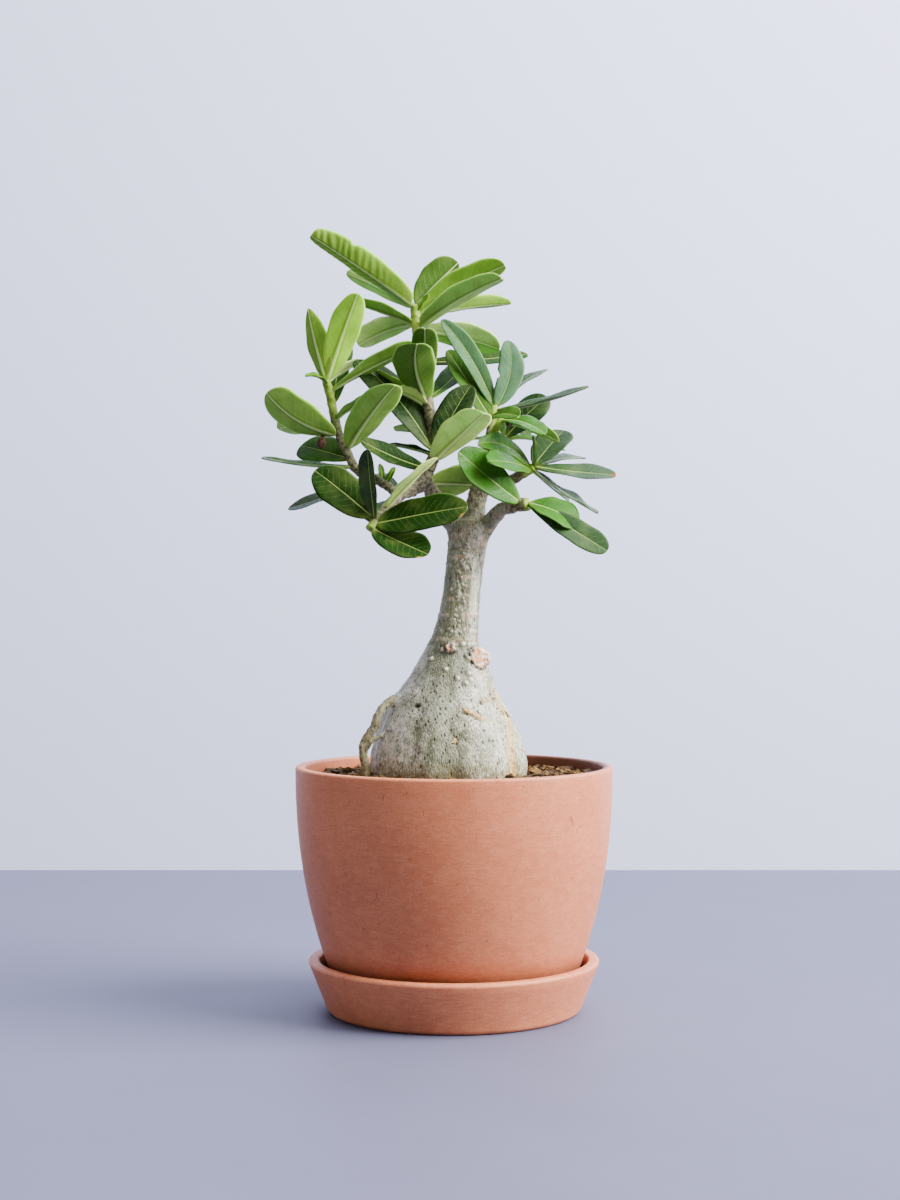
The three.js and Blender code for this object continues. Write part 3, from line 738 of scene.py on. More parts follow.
rough = piece("woody_stem_rough", mesh, [])
grown_together = rough.modifiers.new("grown_together", "REMESH")
grown_together.mode = "VOXEL"
grown_together.voxel_size = SKIN_VOXEL * MM
grown = rough.evaluated_get(bpy.context.evaluated_depsgraph_get()).to_mesh()
mesh = bmesh.new()
mesh.from_mesh(grown)
bpy.data.objects.remove(rough)
bmesh.ops.scale(mesh, vec=(1 / MM,) * 3, verts=mesh.verts)
for _ in range(SKIN_SMOOTHINGS):
    bmesh.ops.smooth_vert(
        mesh, verts=mesh.verts, factor=0.5, use_axis_x=True, use_axis_y=True, use_axis_z=True
    )

# marks on the skin, in millimetres, listed where they show in front
PORES = [(-10.5, -11.8, 165.9), (-3.8, -17.5, 161.4), (1.5, -19.5, 157.8), (6.7, -13.1, 165.9),
         (7.0, -17.1, 159.2), (7.9, -18.0, 156.7), (5.5, -19.8, 155.0), (-6, -13.5, 171.5),
         (4.6, -12.2, 173.4), (8.6, 14.5, 160), (-12.5, 12, 160), (15, 10.5, 156), (-4, 20.5, 155)]
HOLLOWS = [  # place, radius, depth
    ((-17.9, -23.4, 145.2), 1.1, 0.7), ((-16.4, -23.8, 145), 0.9, 0.5),
    ((23.4, -13.6, 141.8), 0.8, 1.1), ((23.8, -13.8, 140.4), 0.8, 1.1),
    ((25.6, -10.0, 141.2), 0.8, 1.1), ((26.0, -10.2, 139.8), 0.8, 1.1),
    ((12.9, -21.0, 146.2), 1.0, 1.1), ((-6, 24.5, 146), 1.8, 0.9), ((20, 16, 138), 1.5, 0.9),
]
FLAKES = [  # torn bits of skin: from, to, half width, height
    ((5.0, -27.4, 142.4), (12.4, -27.0, 139.2), 1.2, 1.3),
    ((14.4, -20.0, 147.0), (19.3, -11.5, 148.5), 0.6, 0.8),
    ((20.2, -8.0, 149.4), (22.6, -11.6, 143.8), 1.7, 0.7),
    ((0.2, -34.5, 130.8), (-0.4, -34.8, 128.6), 0.7, 0.6),
    ((-22, 22, 126), (-18, 26.5, 121), 1.0, 0.8),
    ((10, 27.5, 136), (14, 26, 132), 1.0, 0.7),
]
TAN_FURROW = [(22.6, -11, 144.5), (25.7, -12.5, 138.5), (27, -15, 133), (27.8, -19.4, 126.3),
              (28.8, -20.5, 113.6), (28.4, -21.6, 104)]
GREEN_PATCHES = [((-16.6, -30.6, 134), 4), ((3.4, -33.5, 132.6), 4.2), ((-7, -14, 170), 6),
                 ((4, -13, 167), 6), ((-9, -33, 119), 4)]
RING_SCARS = [213.4, 204.2, 194.4, 186.8, 179.4, 175]
TRUNK_LOW, TRUNK_HIGH = 172, 222
LIMBS_LOW = 217
WARTS = 150
WART_COLUMN = -4, 9  # degrees from the front, and how far they stray from it

skin_places = kdtree.KDTree(len(mesh.verts))
for number, vertex in enumerate(mesh.verts):
    skin_places.insert(vertex.co, number)
skin_places.balance()


def on_skin(place):
    """The place on the smooth skin that lies nearest."""
    return skin_places.find(place)[0].copy()


pores_at = [on_skin(p) for p in PORES]
hollows_at = [(on_skin(p), reach, deep) for p, reach, deep in HOLLOWS]
flakes_at = [(on_skin(start), on_skin(end), half, high) for start, end, half, high in FLAKES]
patches_at = [(on_skin(p), reach) for p, reach in GREEN_PATCHES]
furrow = [on_skin(p) for p in TAN_FURROW]

# a finer mesh where the skin is marked
fine_places = [(p, 2.4) for p in pores_at]
fine_places += [(p, reach + 1.6) for p, reach, _ in hollows_at]
fine_places += [(start.lerp(end, 0.5), 4.4) for start, end, _, _ in flakes_at]
fine_places += [(Vector(p), reach * 1.5 + 1) for p, _, reach, _ in PRUNING_SCARS]
fine_edges = []
for e in mesh.edges:
    x, y, z = (e.verts[0].co + e.verts[1].co) / 2
    centre, radius = stem_section(z)
    in_column = abs(x - centre + 1.5) < 3.4 and y < 0 and abs(x - centre) < radius
    in_column = in_column and TRUNK_LOW < z < TRUNK_HIGH
    if in_column or any((Vector((x, y, z)) - p).length < reach for p, reach in fine_places):
        fine_edges.append(e)
bmesh.ops.subdivide_edges(mesh, edges=fine_edges, cuts=1, use_grid_fill=True)
mesh.normal_update()

FORK = Vector((7.6, 0, 224))
wart_draw = random.Random(5)
warts = kdtree.KDTree(WARTS)
for number in range(WARTS):
    height = wart_draw.uniform(TRUNK_LOW, TRUNK_HIGH)
    # half of them sit in one column down the front
    turn = wart_draw.gauss(*WART_COLUMN) if number % 2 else wart_draw.uniform(-180, 180)
    centre, radius = stem_section(height)
    turn = math.radians(turn)
    warts.insert((centre + radius * math.sin(turn), -radius * math.cos(turn), height), number)
warts.balance()


def near_segment(point, start, end):
    """How far a point is from a straight segment."""
    along = end - start
    share = min(1, max(0, (point - start).dot(along) / along.length_squared))
    return (point - start - along * share).length


def bump(distance, radius):
    """A soft hump: 1 at its middle and next to nothing at twice its radius."""
    return math.exp(-((distance / radius) ** 2))


bark, pink, tan, green, pale, olive, dark = [
    mesh.verts.layers.float.new(name)
    for name in ("bark", "pink", "tan", "green", "pale", "olive", "dark")
]
shifts = []
for vertex in mesh.verts:
    point = vertex.co.copy()
    x, y, z = point
    centre, radius = stem_section(z)
    angle = math.atan2(x - centre, -y)
    degrees = math.degrees(angle)
    off_stem = math.hypot(x - centre, y) - radius
    near_right = smooth_share(x, 10, 18)
    bark_starts = (point - FORK).length - 3 - 5 * near_right
    on_limb = smooth_share(bark_starts, 0, 14 + 8 * near_right) if z > LIMBS_LOW else 0
    on_root = 1 if z < 151 and x < -22 and off_stem > 0.9 else 0
    on_trunk = smooth_share(z, 160, 205)
    vertex[bark] = max(on_limb, 0.35 * on_root)

    # wrinkles that run up the stem, broad dents, and knobs on the branches
    fine = noise.noise(Vector((x * 0.9, y * 0.9, z * 0.16)))
    broad = noise.noise(Vector((x * 0.2, y * 0.2, z * 0.08)) + Vector((3, 7, 1)))
    dents = noise.noise(point * 0.3)
    shift = 0.16 * fine * (1 - on_limb) + 0.55 * broad * (1 - 0.6 * on_trunk) + 0.25 * dents
    knobs = noise.noise(point * 0.42)
    knots = noise.noise(point * 0.95 + Vector((9, 4, 2)))
    fork_swell = smooth_share(z, 214, 222) * (1 - on_limb)
    shift += max(on_limb, 0.5 * on_root, 0.4 * fork_swell) * (0.8 * knobs + 0.5 * knots)

    # faint rings, left where leaves stood
    flare = 0.0
    for scar in RING_SCARS:
        waver = scar + 1.1 * noise.noise(Vector((math.sin(angle), math.cos(angle), scar)))
        part = smooth_share(noise.noise(Vector((angle * 1.1, scar, 4))), -0.1, 0.2)
        flare += bump(z - waver, 0.75) * part * smooth_share(z, 165, 172)
    shift += 0.3 * flare * (1 - on_limb)

    # corky pores and small warts stand out, with a ring of painted shade round each pore's foot
    pores = pore_tops = pore_foot_shade = 0.0
    for place in pores_at:
        away = (point - place).length
        pores += bump(away, 1.1)
        pore_tops += bump(away, 0.85)
        pore_foot_shade += bump(away - 1.7, 0.5)
    shift += 1.1 * min(1, pores)
    away = warts.find(point)[2]
    wart = bump(away, 0.55) * (1 - on_limb)
    shift += 0.45 * wart

    # hollows are sunk in and painted with shade, and torn flakes lift off with a line of painted shade
    # along their edge
    sunk_shade = 0.0
    for place, reach, deep in hollows_at:
        here = bump((point - place).length, reach)
        shift -= deep * here
        sunk_shade += here
    torn = flake_edge_shade = 0.0
    for start, end, half, high in flakes_at:
        away = near_segment(point, start, end)
        if away > 4 * half + 2:
            continue
        away += 0.9 * noise.noise(point * 1.1) + 0.4 * noise.noise(point * 2.6)
        ragged = 0.5 + 0.9 * noise.noise(point * 1.4 + Vector((2, 6, 4)))
        shift += high * ragged * (bump(away, half) - 0.7 * bump(away - half * 1.5, half * 0.4))
        torn += bump(away, half * 1.1)
        flake_edge_shade += bump(away - half * 1.5, half * 0.45) * smooth_share(ragged, 0.35, 0.7)
    # the furrow is a shallow tan groove down the right side
    in_band = 0.0
    if x > 15 and y < -4 and z < 150:
        band = min(near_segment(point, a, b) for a, b in zip(furrow, furrow[1:]))
        band += 0.5 * noise.noise(point * 0.5)
        in_band = smooth_share(2.2 - band, 0, 0.9)
        shift -= 0.7 * bump(band, 2.0)

    # a pruning scar is uneven, with a rolled rim and painted shade just outside it; the small one's sunk
    # centre is darkened, partly its own brown and partly painted shade
    scar_pink = scar_rim_shade = 0.0
    for place, outward, reach, _ in PRUNING_SCARS:
        out = Vector(outward).normalized()
        offset = point - Vector(place)
        rim = (offset - out * offset.dot(out)).length
        facing = smooth_share(vertex.normal.dot(out), 0.35, 0.7)
        if offset.length < reach * 1.8:
            scar_pink = max(scar_pink, facing * smooth_share(reach * 1.12 - rim, 0, 0.6))
            shift += 0.6 * facing * noise.noise(point * 0.6)
            shift += 0.9 * bump(rim - reach, 0.8) * (0.6 + noise.noise(point * 0.9))
            scar_rim_shade += bump(rim - reach * 1.2, 0.55) * min(1, reach / 5)
            if reach < 3:
                shift -= 1.2 * facing * bump(rim, 0.8)
                sunk_shade += 0.3 * facing * bump(rim, 0.9)
    in_fork = bump(z - 223, 5) * smooth_share(noise.noise(point * 0.35), -0.1, 0.3)

    # how much of each colour the skin has here
    vertex[pink] = min(1, max(scar_pink, 0.5 * flare, 0.6 * in_fork * (1 - on_limb)))
    vertex[tan] = min(1, max(in_band, torn))
    # the dark coat: painted shade in hollows, along flake edges, outside scar rims and round pore feet,
    # and the small scar's brown centre
    hollow_shade = min(1, 1.3 * sunk_shade)
    vertex[dark] = min(1, hollow_shade + 0.9 * flake_edge_shade + 0.8 * scar_rim_shade + 0.35 * pore_foot_shade)
    moss_and_shade = smooth_share(noise.noise(point * 0.075 + Vector((5, 1, 8))), 0.05, 0.5)
    patch = sum(bump((point - place).length, reach) for place, reach in patches_at)
    speckled = smooth_share(noise.noise(point * 0.5), -0.3, 0.25)
    # the shoulder is made greener and darker on its front and left
    shoulder = bump(z - 165, 11) * smooth_share(52 - abs(degrees + 8), 0, 30)
    # painted shade: the front valley, and the caudex below its shoulder, most on the left flank away from
    # the window, get the green-grey coat
    valley_shade = bump(degrees + 3 + 0.15 * (z - 134), 11) * smooth_share(162 - z, 0, 10)
    shaded = 0.35 * bump(degrees + 23, 9) + 0.12
    moss_and_shade = 0.5 * moss_and_shade + 0.8 * min(1, patch) * speckled + 1.2 * shoulder + 1.15 * valley_shade
    moss_and_shade += shaded * smooth_share(158 - z, 0, 10)
    vertex[green] = min(1, (1 - on_limb) * moss_and_shade)
    # the trunk is olive in front, with a pale stripe of painted light on its right where the window
    # reaches it, and a second one at the back
    lit_from = 44 - 26 * smooth_share(z, 206, 220)
    lit_stripe = smooth_share(19 - abs(degrees - lit_from), -4, 7)
    lit_stripe += smooth_share(16 - abs(degrees + 150), 0, 8)
    lit_stripe += 0.5 * noise.noise(Vector((degrees * 0.05, z * 0.1, 6)))
    lit_stripe = min(1, max(0, lit_stripe))
    vertex[olive] = max(on_root, (1 - on_limb) * smooth_share(z, 160, 178) * (1 - lit_stripe))
    square = noise.cell(Vector((degrees / 19, z / 5.2, 0))) > -0.3
    blocks = square * smooth_share(22 - abs(degrees - 44), 0, 5) * smooth_share(15 - abs(z - 200), 0, 3)
    vertex[pale] = min(1, max(0.5 * blocks, 1.5 * pore_tops, 0.75 * wart))
    shifts.append(shift)
for vertex, shift in zip(mesh.verts, shifts):
    vertex.co += vertex.normal * shift

skin = Finish("stem_skin", 0.5, 0.3)
moss_and_shade_share, olive_share, bark_share = [skin.painted(name) for name in ("green", "olive", "bark")]
cloud = skin.grain(14, 4, 0.6, stretch=(1, 1, 0.6))
streaks = skin.grain(1.4, 4, 0.65, stretch=(1, 1, 0.16))
grains = skin.grain(0.62, 2, 0.6, stretch=(1, 1, 0.4))
pits = skin.cells(1.9, skin.places((1, 1, 0.4)))
skin.base(skin.two_tone(cloud, 0.38, 0.64, paint(190, 187, 162), paint(226, 222, 204)))
skin.coat(skin.step(streaks, 0.47, 0.6, 0, 0.72), paint(138, 138, 110))
skin.coat(skin.times(olive_share, skin.step(cloud, 0.3, 0.7, 0.95, 0.75)), paint(118, 119, 80))
# green-grey coat: moss, and painted shade in the front valley and low on the caudex, most on its left
skin.coat(skin.times(moss_and_shade_share, 0.82), paint(94, 100, 72))
skin.coat(skin.step(grains, 0.52, 0.59, 0, 0.6), paint(98, 96, 68))
# pale flecks, fewer of them where the skin is green or olive
shade_share = skin.maths("MAXIMUM", moss_and_shade_share, olive_share)
fleck_share = skin.maths("MULTIPLY_ADD", shade_share, -0.42, 0.6)
skin.coat(skin.times(skin.step(grains, 0.36, 0.45, 1, 0), fleck_share), paint(240, 236, 220))
# dark pits, in fields and where the skin is green
pit_field = skin.step(skin.grain(8, 3, 0.6), 0.4, 0.6, 0, 0.8)
pit_field = skin.maths("ADD", pit_field, skin.times(moss_and_shade_share, 0.5))
pit_mask = skin.times(skin.step(pits, 0.12, 0.34, 1, 0), skin.step(pit_field, 0.15, 0.7))
skin.coat(skin.times(pit_mask, 0.9), paint(44, 44, 26))
skin.coat(skin.times(skin.painted("pale"), 0.95), paint(242, 236, 204))
# soil has stained the foot of the caudex
height_of_skin = skin.times(skin.add("ShaderNodeSeparateXYZ", {"Vector": skin.place}, 2), 1 / MM)
stain_grain = skin.step(skin.grain(2.4, 4, 0.7), 0.38, 0.58, 0.1, 0.85)
soil_stain = skin.times(skin.step(height_of_skin, 112, 121, 1, 0), stain_grain)
skin.coat(soil_stain, paint(122, 106, 68))
torn_skin = skin.two_tone(skin.grain(2.2, 3, 0.6), 0.4, 0.65, paint(230, 196, 120), paint(198, 150, 78))
skin.coat(skin.times(skin.painted("tan"), 0.9), torn_skin)
rough_bark = skin.two_tone(skin.grain(1.5, 5, 0.7), 0.4, 0.6, paint(70, 66, 42), paint(152, 144, 110))
brown_patches = skin.step(skin.grain(6, 3), 0.5, 0.65, 0, 0.5)
rough_bark = skin.blend(brown_patches, rough_bark, paint(150, 112, 82))
skin.coat(skin.times(bark_share, 0.9), rough_bark)
cut_wood = skin.two_tone(skin.grain(3.4, 4, 0.6), 0.42, 0.58, paint(246, 228, 204), paint(214, 152, 104))
skin.coat(skin.painted("pink"), cut_wood)
# painted shade in hollows, along flake edges, outside scar rims and round pore feet, with the small
# scar's brown centre
skin.coat(skin.painted("dark"), paint(52, 42, 24))
skin.roughness(skin.maths("MULTIPLY_ADD", bark_share, 0.3, 0.45))
skin_relief = skin.maths("MULTIPLY_ADD", grains, -1.0, 1.0)
for groove, deep in ((pit_mask, -0.8), (streaks, -0.6)):
    skin_relief = skin.maths("MULTIPLY_ADD", groove, deep, skin_relief)
skin.relief(skin_relief, 0.5, 1.0)
stem = piece("caudex_and_branches", mesh, [skin])
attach(stem, "root")
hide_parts("plant_body")

# Leafy shoots
# Each is the soft green end of a branch with its leaves and buds, grown as one with the branch.
# The leaves are thick and leathery: glossy and dark above, paler and matt below, with a pale rib.
LEAF_THICKNESS = 0.8
PETIOLE_THICKNESS = 1.9
PETIOLE_WIDTH = 2.2
PETIOLE_SHARE = 0.05
RIB_HEIGHT = 0.95
RIB_HALF_WIDTH = 0.8
PUCKER_LENGTH = 3.9
EDGE_WAVES = 2.2
LEAF_ROWS = 34
LEAF_COLUMNS = 16
STEM_RING = 0.8
CM = 10 * MM
VEIN_SPACING, VEIN_SLANT, VEIN_CURVE = 0.34, 0.62, 0.22  # in centimetres, as is the map "veins"
UPPER_SIDE, UNDERSIDE, GREEN_STEM, BUD, WAXY_SIDE = range(5)  # the order of a shoot's finishes
LEAF_GREENS = {  # upper side, underside, whether the upper side is waxy and glossy
    "vivid": ((84, 136, 12), (60, 98, 2), False),
    "young": ((84, 136, 12), (128, 170, 48), False),
    "lime": ((92, 142, 18), (174, 228, 58), False),
    "light": ((88, 132, 30), (194, 224, 130), False),
    "matt": ((88, 132, 30), (158, 195, 90), False),
    "pale": ((88, 132, 36), (214, 242, 126), False),
    "mid": ((44, 86, 12), (140, 182, 72), False),
    # painted shade: the next green is mid made darker for leaves whose undersides lie in shade
    "mid_in_shade": ((40, 78, 10), (80, 118, 34), False),
    "dark": ((13, 48, 1), (84, 118, 40), False),
    "teal": ((18, 48, 20), (84, 118, 40), True),
    "bright": ((44, 102, 9), (108, 146, 50), True),
    "grey": ((42, 72, 36), (116, 148, 84), True),
    # painted light: the next two greens are grey made lighter, for a leaf in the window's light and for
    # one that shines with sheen
    "lit": ((76, 118, 76), (116, 148, 84), True),
    "painted_sheen": ((98, 142, 104), (116, 148, 84), True),
    "deep": ((40, 68, 36), (84, 112, 62), True),
}


def leaf_finish(name, upper, roughness, specular):
    """One side of a leaf: its green, pale rib and side veins, fine net and soft sheen."""
    finish = Finish(name, roughness, specular)
    if upper:
        pale = paint(180, 204, 104)
        rib_narrows, rib_width, rib_pale = -0.028, 0.036, 0.8
        vein_pale, vein_share, vein_lift = 0.6, 0.2, -1.0
    else:
        pale = paint(252, 255, 196)
        rib_narrows, rib_width, rib_pale = -0.05, 0.085, 0.5
        vein_pale, vein_share, vein_lift = 0.4, 0.16, 0.6
        # light that falls on the upper side shines through
        finish.put(0.3, finish.shader.inputs["Subsurface Weight"])
        finish.put((0.5, 1.0, 0.15), finish.shader.inputs["Subsurface Radius"])
        finish.put(1.3 * MM, finish.shader.inputs["Subsurface Scale"])
    veins, place = [finish.add("ShaderNodeUVMap", {}, uv_map=uv) for uv in ("veins", "place")]
    (across, along), (edge, share) = [
        [finish.add("ShaderNodeSeparateXYZ", {"Vector": uv}, k) for k in (0, 1)]
        for uv in (veins, place)
    ]
    green = finish.painted("leaf_green", "Color")

    def tinted(share, tint, blend_type="MIX"):
        """The leaf's own green with some of a tint in it."""
        return finish.blend(share, green, tint, blend_type)

    mottle = finish.grain(6, 4, 0.6)
    patches = finish.grain(14, 3, 0.5)
    finish.base(green)
    finish.coat(
        finish.step(mottle, 0.35, 0.7, 0, 0.5), tinted(1.0, paint(190, 204, 150), "MULTIPLY")
    )
    finish.coat(finish.step(patches, 0.45, 0.7, 0, 0.4), tinted(0.16, paint(196, 216, 110)))

    # side veins leave the rib at an even spacing and curve towards the tip
    wander = finish.times(finish.maths("SUBTRACT", mottle, 0.5), 0.9)
    rise = finish.times(across, VEIN_SLANT)
    curve = finish.times(finish.maths("POWER", edge, 3.0), VEIN_CURVE)
    phase = finish.maths("SUBTRACT", finish.maths("SUBTRACT", along, rise), curve)
    phase = finish.maths("ADD", finish.maths("DIVIDE", phase, VEIN_SPACING), wander)
    side_vein = finish.step(finish.maths("PINGPONG", phase, 0.5), 0.0, 0.07, 1, 0)
    side_vein = finish.times(side_vein, finish.step(edge, 0.5, 0.95, 1, 0.1))
    from_rib = finish.maths(
        "DIVIDE", across, finish.maths("MULTIPLY_ADD", share, rib_narrows, rib_width)
    )
    rib = finish.step(from_rib, 0.45, 1.35, 1, 0)
    # painted shade: a darker line either side of the rib
    groove = finish.times(
        finish.step(from_rib, 1.0, 1.6), finish.step(from_rib, 1.8, 3.4, 0.7, 0)
    )
    in_metres = {0: veins, 1: (CM, CM, CM)}
    net_place = finish.add("ShaderNodeVectorMath", in_metres, operation="MULTIPLY")
    net = finish.step(finish.cells(0.9, net_place, "DISTANCE_TO_EDGE"), 0.0, 0.12, 1, 0)

    vein_colour = tinted(vein_pale, pale)
    finish.coat(finish.times(net, 0.05), vein_colour)
    finish.coat(finish.times(side_vein, vein_share), vein_colour)
    # painted shade beside the rib
    finish.coat(groove, tinted(1.0, paint(170, 180, 130), "MULTIPLY"))
    finish.coat(finish.times(rib, 0.85), tinted(rib_pale, pale))
    finish.coat(finish.step(share, 0.0, 0.2, 0.5, 0), tinted(0.55, paint(170, 200, 84)))
    finish.coat(finish.step(edge, 0.95, 0.995, 0, 0.4), tinted(0.5, pale))
    finish.coat(finish.painted("blemish", "Alpha"), finish.painted("blemish", "Color"))
    finish.roughness(finish.step(mottle, 0.3, 0.7, roughness - 0.05, roughness + 0.05))
    lift = finish.times(side_vein, vein_lift)
    for part, high in ((mottle, 1.2), (net, -0.3)):
        lift = finish.maths("MULTIPLY_ADD", part, high, lift)
    finish.relief(lift, 0.2, 0.7)
    return finish


leaf_upper = leaf_finish("leaf_upper_side", True, 0.48, 0.05)
leaf_under = leaf_finish("leaf_underside", False, 0.62, 0.12)
leaf_waxy = leaf_finish("leaf_waxy_upper_side", True, 0.25, 0.11)

green_stem = Finish("green_stem", 0.55, 0.3)
green_stem.base(
    green_stem.two_tone(green_stem.grain(3, 4), 0.35, 0.7, paint(118, 148, 34), paint(158, 186, 62))
)
young_bark = green_stem.two_tone(
    green_stem.grain(1.6, 4, 0.7), 0.4, 0.62, paint(66, 62, 36), paint(132, 128, 88)
)
green_stem.coat(green_stem.painted("woody"), young_bark)
green_stem.relief(green_stem.grain(0.9, 3, 0.7), 0.25, 0.6)

dry_bud = Finish("dry_bud", 0.75, 0.3)
dry_bud.base(
    dry_bud.two_tone(dry_bud.grain(1.2, 3), 0.35, 0.7, paint(44, 28, 20), paint(128, 74, 48))
)


def leaf(mesh, base, tip, width, face, look, bow=2, sway=0, fold=0.2, broad=0.62, blunt=0.48,
         halves=(1, 1), wave=0.35, crinkle=0.12, notch=None, blemish=None, start=None, seed=0,
         rows=LEAF_ROWS):
    """A closed thin blade on its petiole. bow arches it to its upper side, sway bends it sideways,
    fold lifts both halves from the rib, broad is where it is widest, a small blunt makes a blunt
    tip, halves widens one half, wave ripples the edges and crinkle swells the skin by the veins."""
    if start:  # its stalk leaves the stem at another place than on the middle line
        base = Vector(start)
    upper_side = WAXY_SIDE if LEAF_GREENS[look][2] else UPPER_SIDE
    axis = (tip - base).normalized()
    up = Vector(face)
    up = (up - axis * up.dot(axis)).normalized()
    side = axis.cross(up)
    middle = (base + tip) / 2 + up * 2 * bow + side * 2 * sway
    length = (tip - base).length
    rise = 2 * blunt * broad**2 / (1 - broad**2)
    full = broad**rise * (1 - broad * broad) ** blunt
    petiole = min(PETIOLE_WIDTH, width * 0.4)
    veins, place_map = [mesh.loops.layers.uv[name] for name in ("veins", "place")]
    greens, blemishes = [
        mesh.loops.layers.float_color[name] for name in ("leaf_green", "blemish")
    ]

    def outline(t, s):
        """How much of its full width the blade has at t, and the half width there."""
        blade_t = max(0, (t - PETIOLE_SHARE) / (1 - PETIOLE_SHARE))
        spread = min(1, blade_t**rise * max(0, 1 - blade_t**2) ** blunt / full)
        ripple = noise.noise(Vector((t * 5, 3 if s > 0 else 8, seed)))
        blade = (width - petiole) / 2 * spread * (1 + 0.07 * ripple) * halves[s > 0]
        return spread, petiole / 2 * (1 - t) + blade

    rims = []
    for lower in (False, True):
        made = bmesh.ops.create_grid(
            mesh, x_segments=LEAF_COLUMNS, y_segments=rows, size=1
        )["verts"]
        rims += [vertex for vertex in made if vertex.is_boundary]
        faces = {f for vertex in made for f in vertex.link_faces}
        for f in faces:
            f.material_index = UNDERSIDE if lower else upper_side
            for loop in f.loops:
                s, row = loop.vert.co.x, (loop.vert.co.y + 1) / 2
                t = math.sin(math.pi / 2 * row)
                _, half = outline(t, s)
                loop[veins].uv = (abs(s) * half / 10, t * length / 10)
                loop[place_map].uv = (abs(s), t)
                loop[greens] = paint(*LEAF_GREENS[look][lower])
                spot = (0, 0, 0, 0)
                if blemish:
                    (over, along_at), reach, colour = blemish
                    away = math.hypot((t - along_at) * length, s * half - over) / reach
                    spot = (*colour[:3], smooth_share(1.3 - away, 0, 0.6))
                loop[blemishes] = spot
        for vertex in made:
            s, row = vertex.co.x, (vertex.co.y + 1) / 2
            t = math.sin(math.pi / 2 * row)
            spread, half = outline(t, s)
            if notch and s * notch[0] > 0:
                half *= 1 - notch[2] * bump(t - notch[1], 0.03)
            place = base * (1 - t) ** 2 + middle * 2 * t * (1 - t) + tip * t * t
            along = ((middle - base) * (1 - t) + (tip - middle) * t).normalized()
            normal = side.cross(along).normalized()
            reach = abs(s)
            crease = fold * half * (math.sqrt(reach * reach + 0.01) - 0.1)
            phase = t * EDGE_WAVES + (0.5 if s > 0 else 0)
            edge_wave = wave * reach**2 * spread * math.sin(phase * 2 * math.pi + seed)
            swell = crinkle * spread * smooth_share(t, 0.15, 0.5) * math.sin(reach * math.pi) ** 0.5
            ridge_at = t * length - reach * half * 0.6 + 2.2 * noise.noise(Vector((t * 7, seed, 5)))
            swell *= abs(math.sin(math.pi * ridge_at / PUCKER_LENGTH))
            thick = LEAF_THICKNESS + (PETIOLE_THICKNESS - LEAF_THICKNESS) * max(0, 1 - 4 * t)
            inside = 0 < row < 1 and reach < 0.999
            offset = 0
            if inside:
                rib = RIB_HEIGHT * bump(reach * half, RIB_HALF_WIDTH) * (1 - t) ** 0.5 * spread
                body = thick / 2 * math.sqrt(1 - reach**4)
                offset = -body - rib if lower else body - 0.5 * rib
            vertex.co = (
                place
                + side * s * half * math.sqrt(1 - fold * fold)
                + normal * (crease + edge_wave - swell + offset)
            )
        if lower:
            bmesh.ops.reverse_faces(mesh, faces=list(faces))
    bmesh.ops.remove_doubles(mesh, verts=rims, dist=1e-3)


def nearest_share(line, point):
    """The share of a line's length at its place that is nearest to a point."""
    i = min(range(len(line.places)), key=lambda k: (line.places[k] - point).length_squared)
    return line.lengths[i] / line.length


def shoot(name, leaves, buds=(), woody_share=0.35, tip_radius=None):
    """The green end of a branch from where its bare wood stops, with its leaves and buds. A leaf's
    row says how far along it grows, its tip, its width, where its upper side faces, its green and
    how it is bent. A bud's row says its place, its half sizes and its direction."""
    points, radii, bare = BRANCHES[name]
    line = Line(points)
    start = bare + SHOOT_GAP / line.length
    rings = max(12, round((1 - bare) * line.length / STEM_RING))
    start_radius = limb_radius(radii, start)
    end_radius = tip_radius or radii[1]

    def stem_radius(share, angle):
        around = Vector((math.sin(angle) * 1.3, math.cos(angle) * 1.3, share * line.length * 0.45))
        knob = noise.noise(around)
        part = (share - start) / (1 - start)
        return (start_radius + (end_radius - start_radius) * part) * (1 + 0.2 * knob)

    mesh = tube(line, start, 1, stem_radius, 18, rings)
    mesh.loops.layers.uv.new("veins")
    mesh.loops.layers.uv.new("place")
    mesh.loops.layers.float_color.new("leaf_green")
    mesh.loops.layers.float_color.new("blemish")
    woody = mesh.verts.layers.float.new("woody")
    for vertex in mesh.verts:
        share = (nearest_share(line, vertex.co) - start) / (1 - start)
        vertex[woody] = 1 - smooth_share(share, woody_share - 0.15, woody_share + 0.15)
    for f in mesh.faces:
        f.material_index = GREEN_STEM
    for seed, (at, tip, width, face, look, *bends) in enumerate(leaves, 1):
        base, _ = line.at(start + (1 - start) * at)
        leaf(mesh, base, Vector(tip), width, face, look, seed=seed, **(bends[0] if bends else {}))
    for place, size, lean in buds:
        turn = Vector(lean).to_track_quat("Z", "Y").to_matrix().to_4x4()
        bud = bmesh.ops.create_uvsphere(
            mesh, u_segments=14, v_segments=10, radius=1,
            matrix=Matrix.Translation(place) @ turn @ Matrix.Diagonal((*size, 1)),
        )["verts"]
        for f in {f for v in bud for f in v.link_faces}:
            f.material_index = BUD
    finishes = [leaf_upper, leaf_under, green_stem, dry_bud, leaf_waxy]
    made = piece(name + "_shoot_leaves", mesh, finishes)
    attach(made, "root")
    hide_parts(name + "_shoot")


